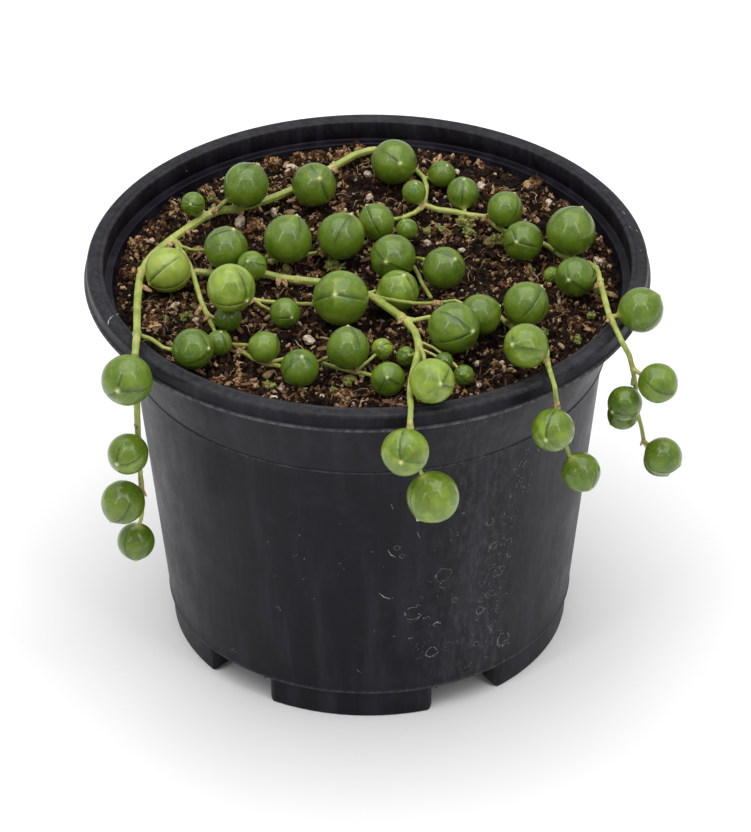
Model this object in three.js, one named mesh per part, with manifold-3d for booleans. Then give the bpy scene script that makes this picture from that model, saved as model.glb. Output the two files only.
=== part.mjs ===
// A potted string of pearls: round, pointed leaves on thin trailing stems, in a black nursery pot.
// Millimetres, +Z up. The plant is laid out about the pot's axis, with z = 0 under the pot's feet.
// The finished group is then moved so that the origin is the middle of the part's footprint.

import * as THREE from 'three';
import { mergeVertices } from 'three/addons/utils/BufferGeometryUtils.js';
import Module from 'manifold-3d';

const wasm = await Module();
wasm.setup();

// ---------------------------------------------------------------- driving dimensions (mm)

const GAP = 0.3; // clearance kept between separate pieces that touch
const FOOTPRINT_MIDDLE = { x: 2.3, y: -6.0 }; // middle of the footprint, seen from the pot's axis

const POT_SIDES = 48;
const POT_HEIGHT = 79.6;
const WALL = 1.2;
const FOOT_RADIUS = 38.6;
const FOOT_INNER_RADIUS = 36.9;
const FOOT_HEIGHT = 6.0; // up to the small step above the feet
const FOOT_STEP = 0.7;
const STEP_RADIUS = 45.2; // the thin step line two thirds of the way up
const STEP_HEIGHT = 61.5;
const COLLAR_RADIUS = 49.4; // top of the wall, where it jogs outward to carry the rim
const COLLAR_HEIGHT = 74.9;
const SHOULDER_RADIUS = 51.0;
const SHOULDER_HEIGHT = 75.4; // of the small ledge inside, just over the soil
const RIM_RADIUS = 53.5;
const RIM_BOTTOM = 76.2;
const RIM_INNER_RADIUS = 49.8;
const FLOOR_BOTTOM = 6.0;
const FLOOR_TOP = 7.4;

const NOTCH_ANGLES = [-40.5, 28.2, 101, 173.9, -113.3]; // degrees from the front (-Y) towards +X
const NOTCH_WIDTH = 12.4;
const NOTCH_CORNER = 1.4;
const FOOT_CORNER = 1.2; // rounding of the feet's lower edges at a notch
const RETURN_LENGTH = 9; // of the walls that turn inward from the feet beside a notch
const DRAIN_RADIUS = 4;
const DRAIN_CIRCLE_RADIUS = 29;

const SOIL_TOP = 75.5;
const SOIL_EDGE_DROP = 1.2;
const SOIL_EDGE_WIDTH = 2.6;

const PEARL_SIDES = 8;
const PEARL_RINGS = 6;
const PEARL_TIP = 1.12; // height of the pointed tip, in pearl radii
const STEM_STEP = 3.4; // length of one tube segment
const STEM_SIDES = 6;
const STALK_SIDES = 5;
const JOINT_DETAIL = 0; // how finely each kind of ball is divided
const BUD_DETAIL = 1;
const CLEARANCE_DETAIL = 2;
const ROOT_DEPTH = 4.5;
const ROOT_CLEARANCE = 0.45;

// ---------------------------------------------------------------- view
// The plant is laid out as it is seen from the front and above. A place in that view is [across,
// down] in pixels. It becomes a point in millimetres on the line of sight through that place.

const VIEW_MIDDLE = { across: 375.5, down: 416 };
const VIEW_FOCUS = 4739; // pixels
const EYE_DISTANCE = 914.5;
const EYE_PITCH = 34.5; // degrees below the horizon
const EYE_YAW = -0.105; // degrees
const EYE_ROLL = -0.335; // degrees
const SIGHTED_HEIGHT = 43.2; // where the middle of the view meets the pot's axis

const { degToRad } = THREE.MathUtils;
const vertical = new THREE.Vector3(0, 0, 1);
const forward = new THREE.Vector3(0, 1, 0)
  .applyAxisAngle(new THREE.Vector3(1, 0, 0), -degToRad(EYE_PITCH));
const eye = forward.clone().multiplyScalar(-EYE_DISTANCE).setZ(
  SIGHTED_HEIGHT - EYE_DISTANCE * forward.z);
forward.applyAxisAngle(vertical, degToRad(EYE_YAW));
const rightward = new THREE.Vector3().crossVectors(forward, vertical).normalize()
  .applyAxisAngle(forward, -degToRad(EYE_ROLL));
const upward = new THREE.Vector3().crossVectors(rightward, forward);

// The line of sight through a place in the view, as the move for each millimetre of depth.
function sight([across, down]) {
  return forward.clone()
    .addScaledVector(rightward, (across - VIEW_MIDDLE.across) / VIEW_FOCUS)
    .addScaledVector(upward, (VIEW_MIDDLE.down - down) / VIEW_FOCUS);
}

function atDepth(place, depth) {
  return eye.clone().addScaledVector(sight(place), depth);
}

// The point seen at a place, at a height over the soil.
function over(across, down, rise) {
  return atDepth([across, down], (SOIL_TOP + rise - eye.z) / sight([across, down]).z);
}

// The point seen at a place, at a distance in front of the pot's axis.
function hung(across, down, front) {
  return atDepth([across, down], (-front - eye.y) / sight([across, down]).y);
}

// ---------------------------------------------------------------- pearls
// Each strand's pearls in the order they grow. at is the centre and tip the pointed end, both as
// seen; radius is in millimetres. A pearl with a front hangs that far in front of the pot's axis.
// The others lie on the soil, on the rim or on what is under them. One that is underStem has a
// stem led around it, so it lies without regard to the stems.

const pearls = {
  // back left, over the left rim and down
  a: [
    { at: [314, 185], radius: 4.4, tip: [320, 180] },
    { at: [246, 185], radius: 4.5, tip: [259, 164] },
    { at: [193, 204], radius: 2.4, tip: [191, 205] },
    { at: [226, 248], radius: 4.2, tip: [234, 230] },
    { at: [168, 270], radius: 4.4, tip: [150, 284], underStem: true },
    { at: [228, 318], radius: 2.6, tip: [226, 331] },
    { at: [219, 343], radius: 2.5, tip: [221, 332] },
    { at: [193, 349], radius: 3.9, tip: [209, 349] },
    { at: [127, 380], radius: 4.8, tip: [119, 391], front: 40 },
    { at: [128, 454], radius: 3.9, tip: [118, 464], front: 39.2 },
    { at: [123, 502], radius: 4.2, tip: [111, 521], front: 38.4 },
    { at: [136, 541], radius: 3.6, tip: [136, 560], front: 34.6 },
  ],
  // across the middle, over the front rim and down
  b: [
    { at: [252, 266], radius: 2.9, tip: [248, 262] },
    { at: [398, 291], radius: 4.0, tip: [404, 276], underStem: true },
    { at: [454, 328], radius: 4.9, tip: [472, 332] },
    { at: [480, 315], radius: 4.0, tip: [500, 306] },
    { at: [432, 381], radius: 4.2, tip: [440, 384] },
    { at: [405, 452], radius: 4.4, tip: [401, 462], front: 60.8 },
    { at: [433, 497], radius: 4.9, tip: [418, 519], front: 55.5 },
  ],
  // short strand left of the middle
  c: [
    { at: [231, 288], radius: 4.6, tip: [247, 301] },
    { at: [285, 313], radius: 2.9, tip: [292, 318] },
    { at: [341, 298], radius: 5.3, tip: [335, 296] },
  ],
  // along the front, inside the rim
  d: [
    { at: [264, 347], radius: 3.0, tip: [276, 334] },
    { at: [300, 368], radius: 3.6, tip: [302, 357] },
    { at: [348, 348], radius: 4.0, tip: [348, 325] },
    { at: [388, 379], radius: 3.2, tip: [387, 378] },
  ],
  // back, along the right side, over the right rim and down
  e: [
    { at: [394, 162], radius: 4.5, tip: [400, 165] },
    { at: [442, 174], radius: 2.7, tip: [447, 166] },
    { at: [414, 192], radius: 2.4, tip: [416, 184] },
    { at: [376, 222], radius: 3.6, tip: [366, 204] },
    { at: [407, 229], radius: 2.1, tip: [404, 221] },
    { at: [463, 193], radius: 3.2, tip: [464, 180] },
    { at: [505, 209], radius: 3.5, tip: [515, 193] },
    { at: [523, 241], radius: 3.9, tip: [516, 243] },
    { at: [571, 231], radius: 4.8, tip: [582, 207] },
    { at: [575, 277], radius: 3.9, tip: [568, 281] },
    { at: [641, 310], radius: 4.3, tip: [659, 296] },
    { at: [658, 383], radius: 3.8, tip: [674, 393], front: 35.0 },
    { at: [625, 403], radius: 3.3, tip: [612, 412], front: 33.4 },
    { at: [623, 414], radius: 3.0, tip: [610, 425], front: 26.6 },
    { at: [663, 456], radius: 3.6, tip: [680, 465], front: 34.5 },
    { at: [660, 460], radius: 3.2, tip: [668, 477], front: 27.0 },
  ],
  // short strand in the middle
  f: [
    { at: [393, 257], radius: 4.4, tip: [386, 263] },
    { at: [444, 268], radius: 4.1, tip: [455, 260] },
  ],
  // right, over the front right rim and down
  g: [
    { at: [526, 304], radius: 4.3, tip: [542, 286] },
    { at: [526, 346], radius: 4.2, tip: [512, 345] },
    { at: [553, 430], radius: 4.0, tip: [545, 440], front: 48.2 },
    { at: [581, 472], radius: 3.7, tip: [590, 489], front: 43.0 },
  ],
  // short strand behind the middle
  h: [
    { at: [288, 239], radius: 4.7, tip: [297, 215] },
    { at: [341, 236], radius: 4.6, tip: [351, 215] },
  ],
};

// Pairs of pearls whose outlines cross in the view: the first is seen in front of the second.
const inFront = [
  ['a8', 'a7'], ['a11', 'a12'], ['b1', 'a4'], ['b2', 'f1'], ['b3', 'b2'], ['b3', 'b4'], ['c1', 'a4'],
  ['c1', 'a6'], ['c1', 'b1'], ['d3', 'c3'], ['e3', 'e1'], ['e5', 'e4'], ['e6', 'e2'], ['e8', 'e7'],
  ['e10', 'e9'], ['e12', 'e13'], ['e13', 'e14'], ['e15', 'e16'], ['f1', 'e4'], ['f1', 'e5'],
  ['g2', 'g1'], ['h2', 'e4'],
];

// ---------------------------------------------------------------- stems
// runs: the radius at even steps along each stretch of stem, and its route. The first is rooted.
// joints: the centre and radius of each swollen joint, where stems and stalks branch.
// stalks: the pearl, by its number on the strand, with the radius and route of its leaf stalk.
// buds: the centre and radius of each small bud, with the radius and route of its stalk.

const strands = {
  a: {
    runs: [
      [[0.75, 0.8, 0.85, 0.8, 0.78, 0.72, 0.6, 0.4], [
        over(386, 150, 0.9), over(377, 149, 1.6), over(355, 155, 1.5), over(334, 167, 1.3),
        over(313, 178, 1.2), over(290, 191, 1.2), over(264, 201, 1.2), over(240, 208, 1.2),
        over(214, 212, 1.2), over(188, 228, 1.2), over(167, 243, 1.4), over(152, 256, 1.6),
        over(142, 271, 2.0), over(138, 295, 2.8), over(137, 317, 4.6), over(137, 334, 6.0),
        over(136, 345, 6.6), hung(135, 357, 34.8), hung(136, 375, 35.0), hung(137, 408, 34.8),
        hung(138, 436, 34.5), hung(140, 471, 34.4), hung(143, 510, 34.4), hung(141, 519, 34.6)]],
      [[0.5, 0.5], [
        over(172, 240, 1.3), over(182, 252, 1.4), over(191, 269, 3.2), over(196, 284, 2.6),
        over(201, 301, 1.2), over(207, 314, 1.0), over(213, 327, 1.0)]],
      [[0.35, 0.3], [over(175, 240, 1.3), over(184, 248, 1.2), over(192, 250, 1.3)]],
    ],
    joints: [
      [over(334, 167, 1.3), 0.95], [over(214, 212, 1.2), 1.1], [over(172, 240, 1.3), 1.05],
      [over(142, 271, 2.0), 1.1], [over(137, 334, 6.0), 1.0], [hung(138, 443, 34.5), 0.8],
      [hung(141, 488, 34.4), 0.7], [over(207, 314, 1.0), 0.65],
    ],
    stalks: [
      [1, 0.4, [over(293, 190, 1.2), over(299, 189, 2.5)]],
      [2, 0.5, [over(214, 212, 1.2), over(222, 204, 3.2)]],
      [3, 0.3, [over(208, 214, 1.2), over(202, 210, 1.8)]],
      [4, 0.3, [over(192, 250, 1.3), over(201, 250, 3.5)]],
      [5, 0.4, [over(172, 240, 1.3), over(178, 247, 3.0)]],
      [6, 0.3, [over(207, 314, 1.0), over(213, 317, 2.2)]],
      [7, 0.35, [over(213, 327, 1.0), over(215, 332, 2.2)]],
      [8, 0.42, [over(137, 334, 6.0), over(145, 336, 5.4), over(158, 343, 4.6), over(169, 351, 4)]],
      [9, 0.45, [hung(135, 357, 34.8), hung(133, 362, 36.4)]],
      [10, 0.4, [hung(138, 443, 34.5), hung(137, 447, 36.0)]],
      [11, 0.4, [hung(141, 488, 34.4), hung(138, 493, 35.5)]],
      [12, 0.38, [hung(141, 519, 34.6), hung(139, 524, 34.7)]],
    ],
    buds: [],
  },
  b: {
    runs: [
      [[0.7, 0.78, 0.8, 0.75, 0.65, 0.4], [
        over(180, 276, 0.9), over(194, 272, 1.2), over(210, 273, 1.2), over(235, 274, 1.2),
        over(265, 274, 1.2), over(282, 278, 1.3), over(297, 280, 1.5), over(318, 282, 1.7),
        over(345, 287, 2.4), over(370, 296, 3.6), over(386, 306, 4.9), over(401, 317, 5.0),
        over(414, 330, 4.8), over(419, 350, 4.8), over(417, 359, 5.0), over(412, 378, 5.4),
        over(410, 395, 5.8), hung(411, 412, 54.4), hung(410, 428, 55.3), hung(414, 450, 55.2),
        hung(419, 468, 55.2)]],
    ],
    joints: [
      [over(297, 280, 1.5), 1.0], [over(370, 296, 3.6), 1.0], [over(401, 317, 5.0), 1.05],
      [over(419, 345, 4.8), 0.95], [hung(410, 428, 55.3), 0.75],
    ],
    stalks: [
      [1, 0.35, [over(262, 274, 1.2), over(258, 272, 3.0)]],
      [2, 0.4, [over(366, 294, 3.4), over(374, 290, 3.6)]],
      [3, 0.45, [over(401, 317, 5), over(410, 320, 5.2), over(419, 320, 5.6), over(428, 317, 6.2)]],
      [4, 0.35, [
        over(371, 295, 3.6), over(388, 299, 6.0), over(413, 303, 7.2), over(438, 303, 5.7),
        over(453, 300, 4.8), over(465, 305, 4.5)]],
      [5, 0.4, [over(418, 345, 4.8), over(423, 353, 6.5), over(425, 362, 8.0)]],
      [6, 0.4, [hung(410, 430, 55.3), hung(409, 436, 57.0)]],
      [7, 0.4, [hung(419, 468, 55.2), hung(422, 474, 55.3)]],
    ],
    buds: [
      [over(406, 356, 2.1), 1.7, 0.3, [over(418, 352, 4.8), over(413, 355, 3.6)]],
      [over(464, 375, 2.2), 1.8, 0.3, [
        over(418, 341, 4.8), over(436, 349, 4.0), over(455, 365, 2.6)]],
      [over(444, 361, 3.1), 1.6, 0.3, [over(419, 348, 4.8), over(430, 353, 4.0)]],
    ],
  },
  c: {
    runs: [
      [[0.42, 0.4], [
        over(244, 298, 0.8), over(254, 300, 1.2), over(271, 302, 1.3), over(285, 303, 1.3),
        over(299, 304, 1.6)]],
    ],
    joints: [[over(254, 300, 1.2), 0.55]],
    stalks: [
      [1, 0.35, [over(245, 298, 0.9), over(243, 294, 5.0)]],
      [2, 0.32, [over(255, 300, 1.2), over(262, 306, 1.8), over(271, 310, 3.0)]],
      [3, 0.4, [over(299, 304, 1.6), over(308, 304, 3.2), over(314, 304, 4.4)]],
    ],
    buds: [],
  },
  d: {
    runs: [
      [[0.42, 0.42, 0.4, 0.42], [
        over(221, 345, 0.8), over(230, 342, 1.0), over(237, 346, 1.1), over(244, 353, 1.1),
        over(254, 359, 1.2), over(266, 364, 1.6), over(283, 359, 1.0), over(300, 357, 0.9),
        over(312, 361, 1.0), over(321, 363, 1.0), over(334, 367, 1.0), over(345, 370, 1.0),
        over(355, 372, 1.1)]],
    ],
    joints: [[over(237, 346, 1.1), 0.6], [over(266, 364, 1.6), 0.55], [over(355, 372, 1.1), 0.6]],
    stalks: [
      [1, 0.35, [over(236, 345, 1.1), over(243, 345, 2.4), over(248, 345, 3.8)]],
      [2, 0.4, [over(266, 364, 1.6), over(274, 365, 2.6), over(280, 366, 3.4)]],
      [3, 0.35, [over(318, 362, 1.1), over(324, 359, 2.5), over(329, 357, 4.4)]],
      [4, 0.38, [over(355, 372, 1.1), over(363, 373, 2.2), over(370, 375, 3.2)]],
    ],
    buds: [
      [over(382, 349, 2.3), 1.9, 0.3, [over(355, 372, 1.1), over(366, 363, 1.6)]],
    ],
  },
  e: {
    runs: [
      [[0.55, 0.5, 0.62, 0.58, 0.52, 0.52, 0.6, 0.55, 0.45, 0.38], [
        over(404, 155, 0.9), over(410, 165, 1.3), over(417, 171, 1.4), over(424, 178, 1.3),
        over(427, 190, 1.2), over(424, 205, 1.1), over(434, 209, 1.1), over(451, 211, 1.1),
        over(468, 215, 1.1), over(487, 217, 1.1), over(491, 222, 1.1), over(501, 229, 1.1),
        over(514, 236, 1.1), over(530, 239, 1.1), over(544, 243, 1.1), over(554, 251, 1.1),
        over(567, 258, 1.2), over(584, 262, 1.4), over(595, 266, 2.2), over(600, 281, 3.6),
        over(605, 300, 5.2), over(610, 317, 6.2), over(614, 325, 6.4), hung(620, 338, 30.0),
        hung(628, 352, 30.6), hung(633, 369, 30.6), hung(636, 390, 30.6), hung(638, 415, 30.6),
        hung(642, 429, 30.6), hung(644, 442, 30.6)]],
      [[0.5, 0.45], [over(424, 205, 1.1), over(411, 215, 1.1), over(402, 218, 1.3)]],
    ],
    joints: [
      [over(424, 205, 1.1), 0.85], [over(487, 217, 1.1), 0.7], [over(567, 258, 1.2), 0.65],
      [over(600, 281, 3.6), 0.85], [over(610, 317, 6.2), 0.75], [hung(633, 369, 30.6), 0.65],
      [hung(644, 442, 30.6), 0.55],
    ],
    stalks: [
      [1, 0.4, [over(414, 168, 1.4), over(411, 167, 3.2)]],
      [2, 0.35, [over(424, 178, 1.3), over(430, 177, 2.2)]],
      [3, 0.28, [over(422, 206, 1.1), over(418, 203, 2.6)]],
      [4, 0.42, [over(402, 218, 1.3), over(395, 219, 3.2)]],
      [5, 0.25, [over(403, 218, 1.3), over(405, 220, 2.8)]],
      [6, 0.35, [over(465, 214, 1.1), over(465, 207, 2.0)]],
      [7, 0.4, [over(487, 217, 1.1), over(490, 214, 3.6)]],
      [8, 0.38, [over(501, 229, 1.1), over(507, 231, 2.4)]],
      [9, 0.4, [over(554, 251, 1.1), over(557, 247, 3.4)]],
      [10, 0.4, [over(595, 266, 2.2), over(592, 269, 3.6)]],
      [11, 0.42, [over(610, 317, 6.2), over(617, 316, 6.8)]],
      [12, 0.38, [hung(633, 369, 30.6), hung(638, 373, 32.2)]],
      [13, 0.35, [hung(633, 378, 30.8), hung(632, 388, 31.2)]],
      [14, 0.32, [hung(635, 388, 30.4), hung(631, 402, 28.6)]],
      [15, 0.35, [hung(644, 442, 30.6), hung(649, 444, 32.2)]],
      [16, 0.35, [hung(643, 440, 30.6), hung(648, 449, 28.6)]],
    ],
    buds: [
      [over(552, 275, 1.9), 1.5, 0.3, [over(569, 258, 1.2), over(561, 266, 1.6)]],
    ],
  },
  f: {
    runs: [
      [[0.42, 0.42], [
        over(405, 260, 0.8), over(414, 267, 1.1), over(418, 274, 1.1), over(421, 281, 1.1),
        over(427, 291, 1.1), over(431, 298, 0.9)]],
    ],
    joints: [[over(410, 263, 1.0), 0.55]],
    stalks: [
      [1, 0.35, [over(407, 261, 0.9), over(404, 261, 2.4)]],
      [2, 0.42, [over(410, 263, 1.0), over(416, 259, 2.4), over(422, 259, 3.8)]],
    ],
    buds: [],
  },
  g: {
    runs: [
      [[0.5, 0.5, 0.5, 0.45, 0.38], [
        over(499, 316, 0.9), over(506, 323, 1.0), over(514, 328, 1.1), over(524, 333, 1.2),
        over(535, 337, 1.4), over(546, 347, 3.6), over(547, 360, 5.4), hung(550, 371, 42.4),
        hung(554, 380, 43.8), hung(555, 390, 43.6), hung(557, 405, 43.4), hung(562, 425, 43.2),
        hung(566, 445, 43.2)]],
    ],
    joints: [[over(506, 323, 1.0), 0.65], [over(547, 360, 5.4), 0.7], [hung(557, 405, 43.4), 0.6]],
    stalks: [
      [1, 0.38, [over(506, 323, 1.0), over(510, 319, 3.0)]],
      [2, 0.4, [over(536, 338, 1.5), over(534, 340, 4.2)]],
      [3, 0.38, [hung(557, 405, 43.4), hung(556, 412, 45.2)]],
      [4, 0.38, [hung(566, 445, 43.2), hung(569, 454, 43.1)]],
    ],
    buds: [],
  },
  h: {
    runs: [
      [[0.42, 0.42], [
        over(262, 262, 0.8), over(272, 262, 1.0), over(290, 258, 1.0), over(315, 253, 1.0),
        over(330, 252, 1.0), over(350, 247, 1.0), over(366, 242, 1.0)]],
    ],
    joints: [[over(272, 262, 1.0), 0.55], [over(318, 253, 1.0), 0.55]],
    stalks: [
      [1, 0.4, [over(265, 262, 1.0), over(267, 256, 3.4)]],
      [2, 0.38, [over(318, 253, 1.0), over(322, 248, 3.4)]],
    ],
    buds: [],
  },
};

// ---------------------------------------------------------------- materials

function finish(color, roughness) {
  return new THREE.MeshStandardMaterial({ color, roughness, metalness: 0 });
}

const potFinish = () => finish(0x26272a, 0.5);
const soilFinish = () => finish(0x3a2418, 0.95);
const pearlFinish = () => finish(0x5f8f3a, 0.4);
const stemFinish = () => finish(0x93a35c, 0.55);

// ---------------------------------------------------------------- solids

// A closed three.js geometry as a solid that can be joined and cut.
function solidOf(geometry) {
  const bare = geometry.clone();
  bare.deleteAttribute('normal');
  bare.deleteAttribute('uv');
  const merged = mergeVertices(bare);
  const corners = [...merged.index.array];
  const kept = [];
  for (let i = 0; i < corners.length; i += 3) {
    const [p, q, r] = corners.slice(i, i + 3);
    if (p !== q && q !== r && r !== p) kept.push(p, q, r);
  }
  return new wasm.Manifold(new wasm.Mesh({
    numProp: 3,
    vertProperties: Float32Array.from(merged.attributes.position.array),
    triVerts: Uint32Array.from(kept),
  }));
}

function geometryOf(solid) {
  const mesh = solid.getMesh();
  const geometry = new THREE.BufferGeometry();
  geometry.setAttribute('position', new THREE.BufferAttribute(mesh.vertProperties, mesh.numProp));
  geometry.setIndex(new THREE.BufferAttribute(mesh.triVerts, 1));
  geometry.computeVertexNormals();
  return geometry;
}

// Turns an outline of [radius, height] points about the Z axis.
function turned(outline, sides) {
  const points = outline.map(([radius, height]) => new THREE.Vector2(radius, height));
  return new THREE.LatheGeometry(points, sides).rotateX(Math.PI / 2);
}

function ball(center, radius, detail) {
  const sphere = new THREE.IcosahedronGeometry(radius, detail);
  return solidOf(sphere.translate(...center));
}

// The value a given share of the way along an evenly spread list of values.
function between(values, share) {
  const place = share * (values.length - 1);
  const before = Math.min(Math.floor(place), values.length - 2);
  return THREE.MathUtils.lerp(values[before], values[before + 1], place - before);
}

function pathOf(route) {
  return new THREE.CatmullRomCurve3(route, false, 'centripetal');
}

// A round tube along a smooth route. The radii are spread evenly from its start to its end.
function tube(route, radii, sides) {
  const path = pathOf(route);
  const steps = Math.max(2, Math.ceil(path.getLength() / STEM_STEP));
  const section = new THREE.Shape(Array.from({ length: sides }, (_, i) => {
    const angle = (2 * Math.PI * i) / sides;
    return new THREE.Vector2(Math.cos(angle), Math.sin(angle));
  }));
  const geometry = new THREE.ExtrudeGeometry(section, { steps, extrudePath: path });
  const centres = path.getSpacedPoints(steps);
  const vertices = geometry.attributes.position;
  const vertex = new THREE.Vector3();
  for (let i = 0; i < vertices.count; i += 1) {
    vertex.fromBufferAttribute(vertices, i);
    let nearest = 0;
    for (let k = 1; k <= steps; k += 1) {
      if (vertex.distanceTo(centres[k]) < vertex.distanceTo(centres[nearest])) nearest = k;
    }
    vertex.sub(centres[nearest]).multiplyScalar(between(radii, nearest / steps));
    vertex.add(centres[nearest]);
    vertices.setXYZ(i, vertex.x, vertex.y, vertex.z);
  }
  return solidOf(geometry);
}

// ---------------------------------------------------------------- pot

function potOutline() {
  const skirtInner = RIM_RADIUS - WALL;
  const rimFloor = POT_HEIGHT - WALL;
  return [
    [0, FLOOR_BOTTOM],
    [FOOT_INNER_RADIUS + 0.1, FLOOR_BOTTOM],
    [FOOT_INNER_RADIUS, 0],
    [FOOT_RADIUS, 0],
    [FOOT_RADIUS + 0.1, FOOT_HEIGHT],
    [FOOT_RADIUS + FOOT_STEP, FOOT_HEIGHT],
    [STEP_RADIUS - 0.2, STEP_HEIGHT],
    [STEP_RADIUS + 0.2, STEP_HEIGHT + 0.4],
    [COLLAR_RADIUS, COLLAR_HEIGHT],
    [SHOULDER_RADIUS, SHOULDER_HEIGHT],
    [SHOULDER_RADIUS, rimFloor],
    [skirtInner - 0.2, rimFloor],
    [skirtInner, RIM_BOTTOM],
    [RIM_RADIUS - 0.2, RIM_BOTTOM],
    [RIM_RADIUS, RIM_BOTTOM + 0.3],
    [RIM_RADIUS - 0.7, POT_HEIGHT - 0.5],
    [RIM_RADIUS - 1.2, POT_HEIGHT],
    [RIM_INNER_RADIUS + 0.6, POT_HEIGHT - 0.1],
    [RIM_INNER_RADIUS, POT_HEIGHT - 0.6],
    [SHOULDER_RADIUS - WALL - 0.1, SHOULDER_HEIGHT + 0.3],
    ...innerWall().reverse(),
    [0, FLOOR_TOP],
  ];
}

// The inside of the wall, from the floor up to the ledge.
function innerWall() {
  return [
    [FOOT_RADIUS + FOOT_STEP - WALL, FLOOR_TOP],
    [STEP_RADIUS - WALL, STEP_HEIGHT],
    [COLLAR_RADIUS - WALL, SHOULDER_HEIGHT],
  ];
}

// One notch between two feet, as a solid to cut away, standing across the front (-Y) of the foot.
function notch(angle) {
  const half = NOTCH_WIDTH / 2;
  const top = FOOT_HEIGHT - 0.1;
  const depth = RETURN_LENGTH + 5;
  const outline = new THREE.Shape();
  outline.moveTo(-half - FOOT_CORNER, -1);
  outline.lineTo(half + FOOT_CORNER, -1);
  outline.absarc(half + FOOT_CORNER, FOOT_CORNER, FOOT_CORNER, -Math.PI / 2, -Math.PI, true);
  outline.absarc(half - NOTCH_CORNER, top - NOTCH_CORNER, NOTCH_CORNER, 0, Math.PI / 2);
  outline.absarc(NOTCH_CORNER - half, top - NOTCH_CORNER, NOTCH_CORNER, Math.PI / 2, Math.PI);
  outline.absarc(-half - FOOT_CORNER, FOOT_CORNER, FOOT_CORNER, 0, -Math.PI / 2, true);
  const block = new THREE.ExtrudeGeometry(outline, {
    depth, bevelEnabled: false, curveSegments: 4,
  });
  block.rotateX(Math.PI / 2);
  block.translate(0, depth - FOOT_RADIUS - 1, 0);
  return solidOf(block.rotateZ(degToRad(angle)));
}

// The wall that turns inward from a foot on one side (-1 or 1) of a notch, up to the floor.
function footReturn(angle, side) {
  const depth = RETURN_LENGTH + 0.5;
  const height = FLOOR_BOTTOM + 0.5;
  const wall = new THREE.BoxGeometry(WALL, depth, height);
  wall.translate(side * (NOTCH_WIDTH + WALL) / 2, depth / 2 - FOOT_INNER_RADIUS - 0.5, height / 2);
  return solidOf(wall.rotateZ(degToRad(angle)));
}

function drainHole(angle) {
  const height = 4 * (FLOOR_TOP - FLOOR_BOTTOM);
  const hole = new THREE.CylinderGeometry(DRAIN_RADIUS, DRAIN_RADIUS, height, 20);
  hole.rotateX(Math.PI / 2);
  hole.translate(0, -DRAIN_CIRCLE_RADIUS, (FLOOR_TOP + FLOOR_BOTTOM) / 2);
  return solidOf(hole.rotateZ(degToRad(angle)));
}

function potGeometry() {
  let pot = solidOf(turned(potOutline(), POT_SIDES));
  for (const angle of NOTCH_ANGLES) {
    pot = pot.add(footReturn(angle, -1)).add(footReturn(angle, 1));
    pot = pot.subtract(notch(angle)).subtract(drainHole(angle));
  }
  return geometryOf(pot);
}

// ---------------------------------------------------------------- soil

function soilGeometry() {
  const side = innerWall().map(([radius, height]) => [radius - GAP, Math.max(height, FLOOR_TOP + GAP)]);
  const [edgeRadius] = side.pop();
  const outline = [
    [0, FLOOR_TOP + GAP],
    ...side,
    [edgeRadius - 0.2, SOIL_TOP - SOIL_EDGE_DROP],
    [edgeRadius - SOIL_EDGE_WIDTH, SOIL_TOP - 0.1],
    [0, SOIL_TOP],
  ];
  let soil = solidOf(turned(outline, POT_SIDES));
  for (const { runs: [[[radius], [start]]] } of Object.values(strands)) {
    const width = radius + ROOT_CLEARANCE;
    const foot = start.clone().setZ(SOIL_TOP - ROOT_DEPTH - GAP);
    soil = soil.subtract(tube([start, foot], [width, width], STEM_SIDES));
  }
  return geometryOf(soil);
}

// ---------------------------------------------------------------- places of the pearls

const SETTLE_STEP = 0.05; // how far a pearl is drawn towards the eye at a time
const PEARL_SPACING = 0.35; // clearance kept between two pearls
const EDGE_LEAN = 0.15; // how far a tip on a pearl's outline leans towards the eye

function distanceToPot(point) {
  const spot = new THREE.Vector3(Math.hypot(point.x, point.y), point.z, 0);
  const outline = potOutline().map(([radius, height]) => new THREE.Vector3(radius, height, 0));
  const nearest = new THREE.Vector3();
  return Math.min(...outline.slice(1).map((end, i) => {
    new THREE.Line3(outline[i], end).closestPointToPoint(spot, true, nearest);
    return nearest.distanceTo(spot);
  }));
}

// Points a millimetre apart along every stretch of stem, with the stem's radius there.
function stemPoints() {
  return Object.values(strands).flatMap(({ runs }) => runs.flatMap(([radii, route]) => {
    const path = pathOf(route);
    const steps = Math.ceil(path.getLength());
    return path.getSpacedPoints(steps).map((point, i) => ({ point, radius: between(radii, i / steps) }));
  }));
}

// Draws the pearls towards the eye, from the soil, until each is clear of all that is under it.
function settledPearls() {
  const stems = stemPoints();
  const settled = new Map();
  const clear = ({ center, radius, underStem }) => {
    const overSoil = Math.hypot(center.x, center.y) < RIM_INNER_RADIUS - WALL;
    return distanceToPot(center) >= radius + GAP
      && (!overSoil || center.z >= SOIL_TOP + radius + GAP)
      && (underStem || stems.every((stem) => (
        stem.point.distanceTo(center) >= stem.radius + radius + GAP)));
  };
  const draw = (pearl) => {
    pearl.depth -= SETTLE_STEP;
    pearl.center = atDepth(pearl.at, pearl.depth);
  };
  for (const [strand, leaves] of Object.entries(pearls)) {
    leaves.forEach((leaf, i) => {
      const center = leaf.front ? hung(...leaf.at, leaf.front) : over(...leaf.at, 0);
      const pearl = { ...leaf, center, depth: center.clone().sub(eye).dot(forward) };
      while (!leaf.front && !clear(pearl)) draw(pearl);
      settled.set(`${strand}${i + 1}`, pearl);
    });
  }
  while (parted(settled, draw)) { /* until no pearl has to move */ }
  return settled;
}

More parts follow.
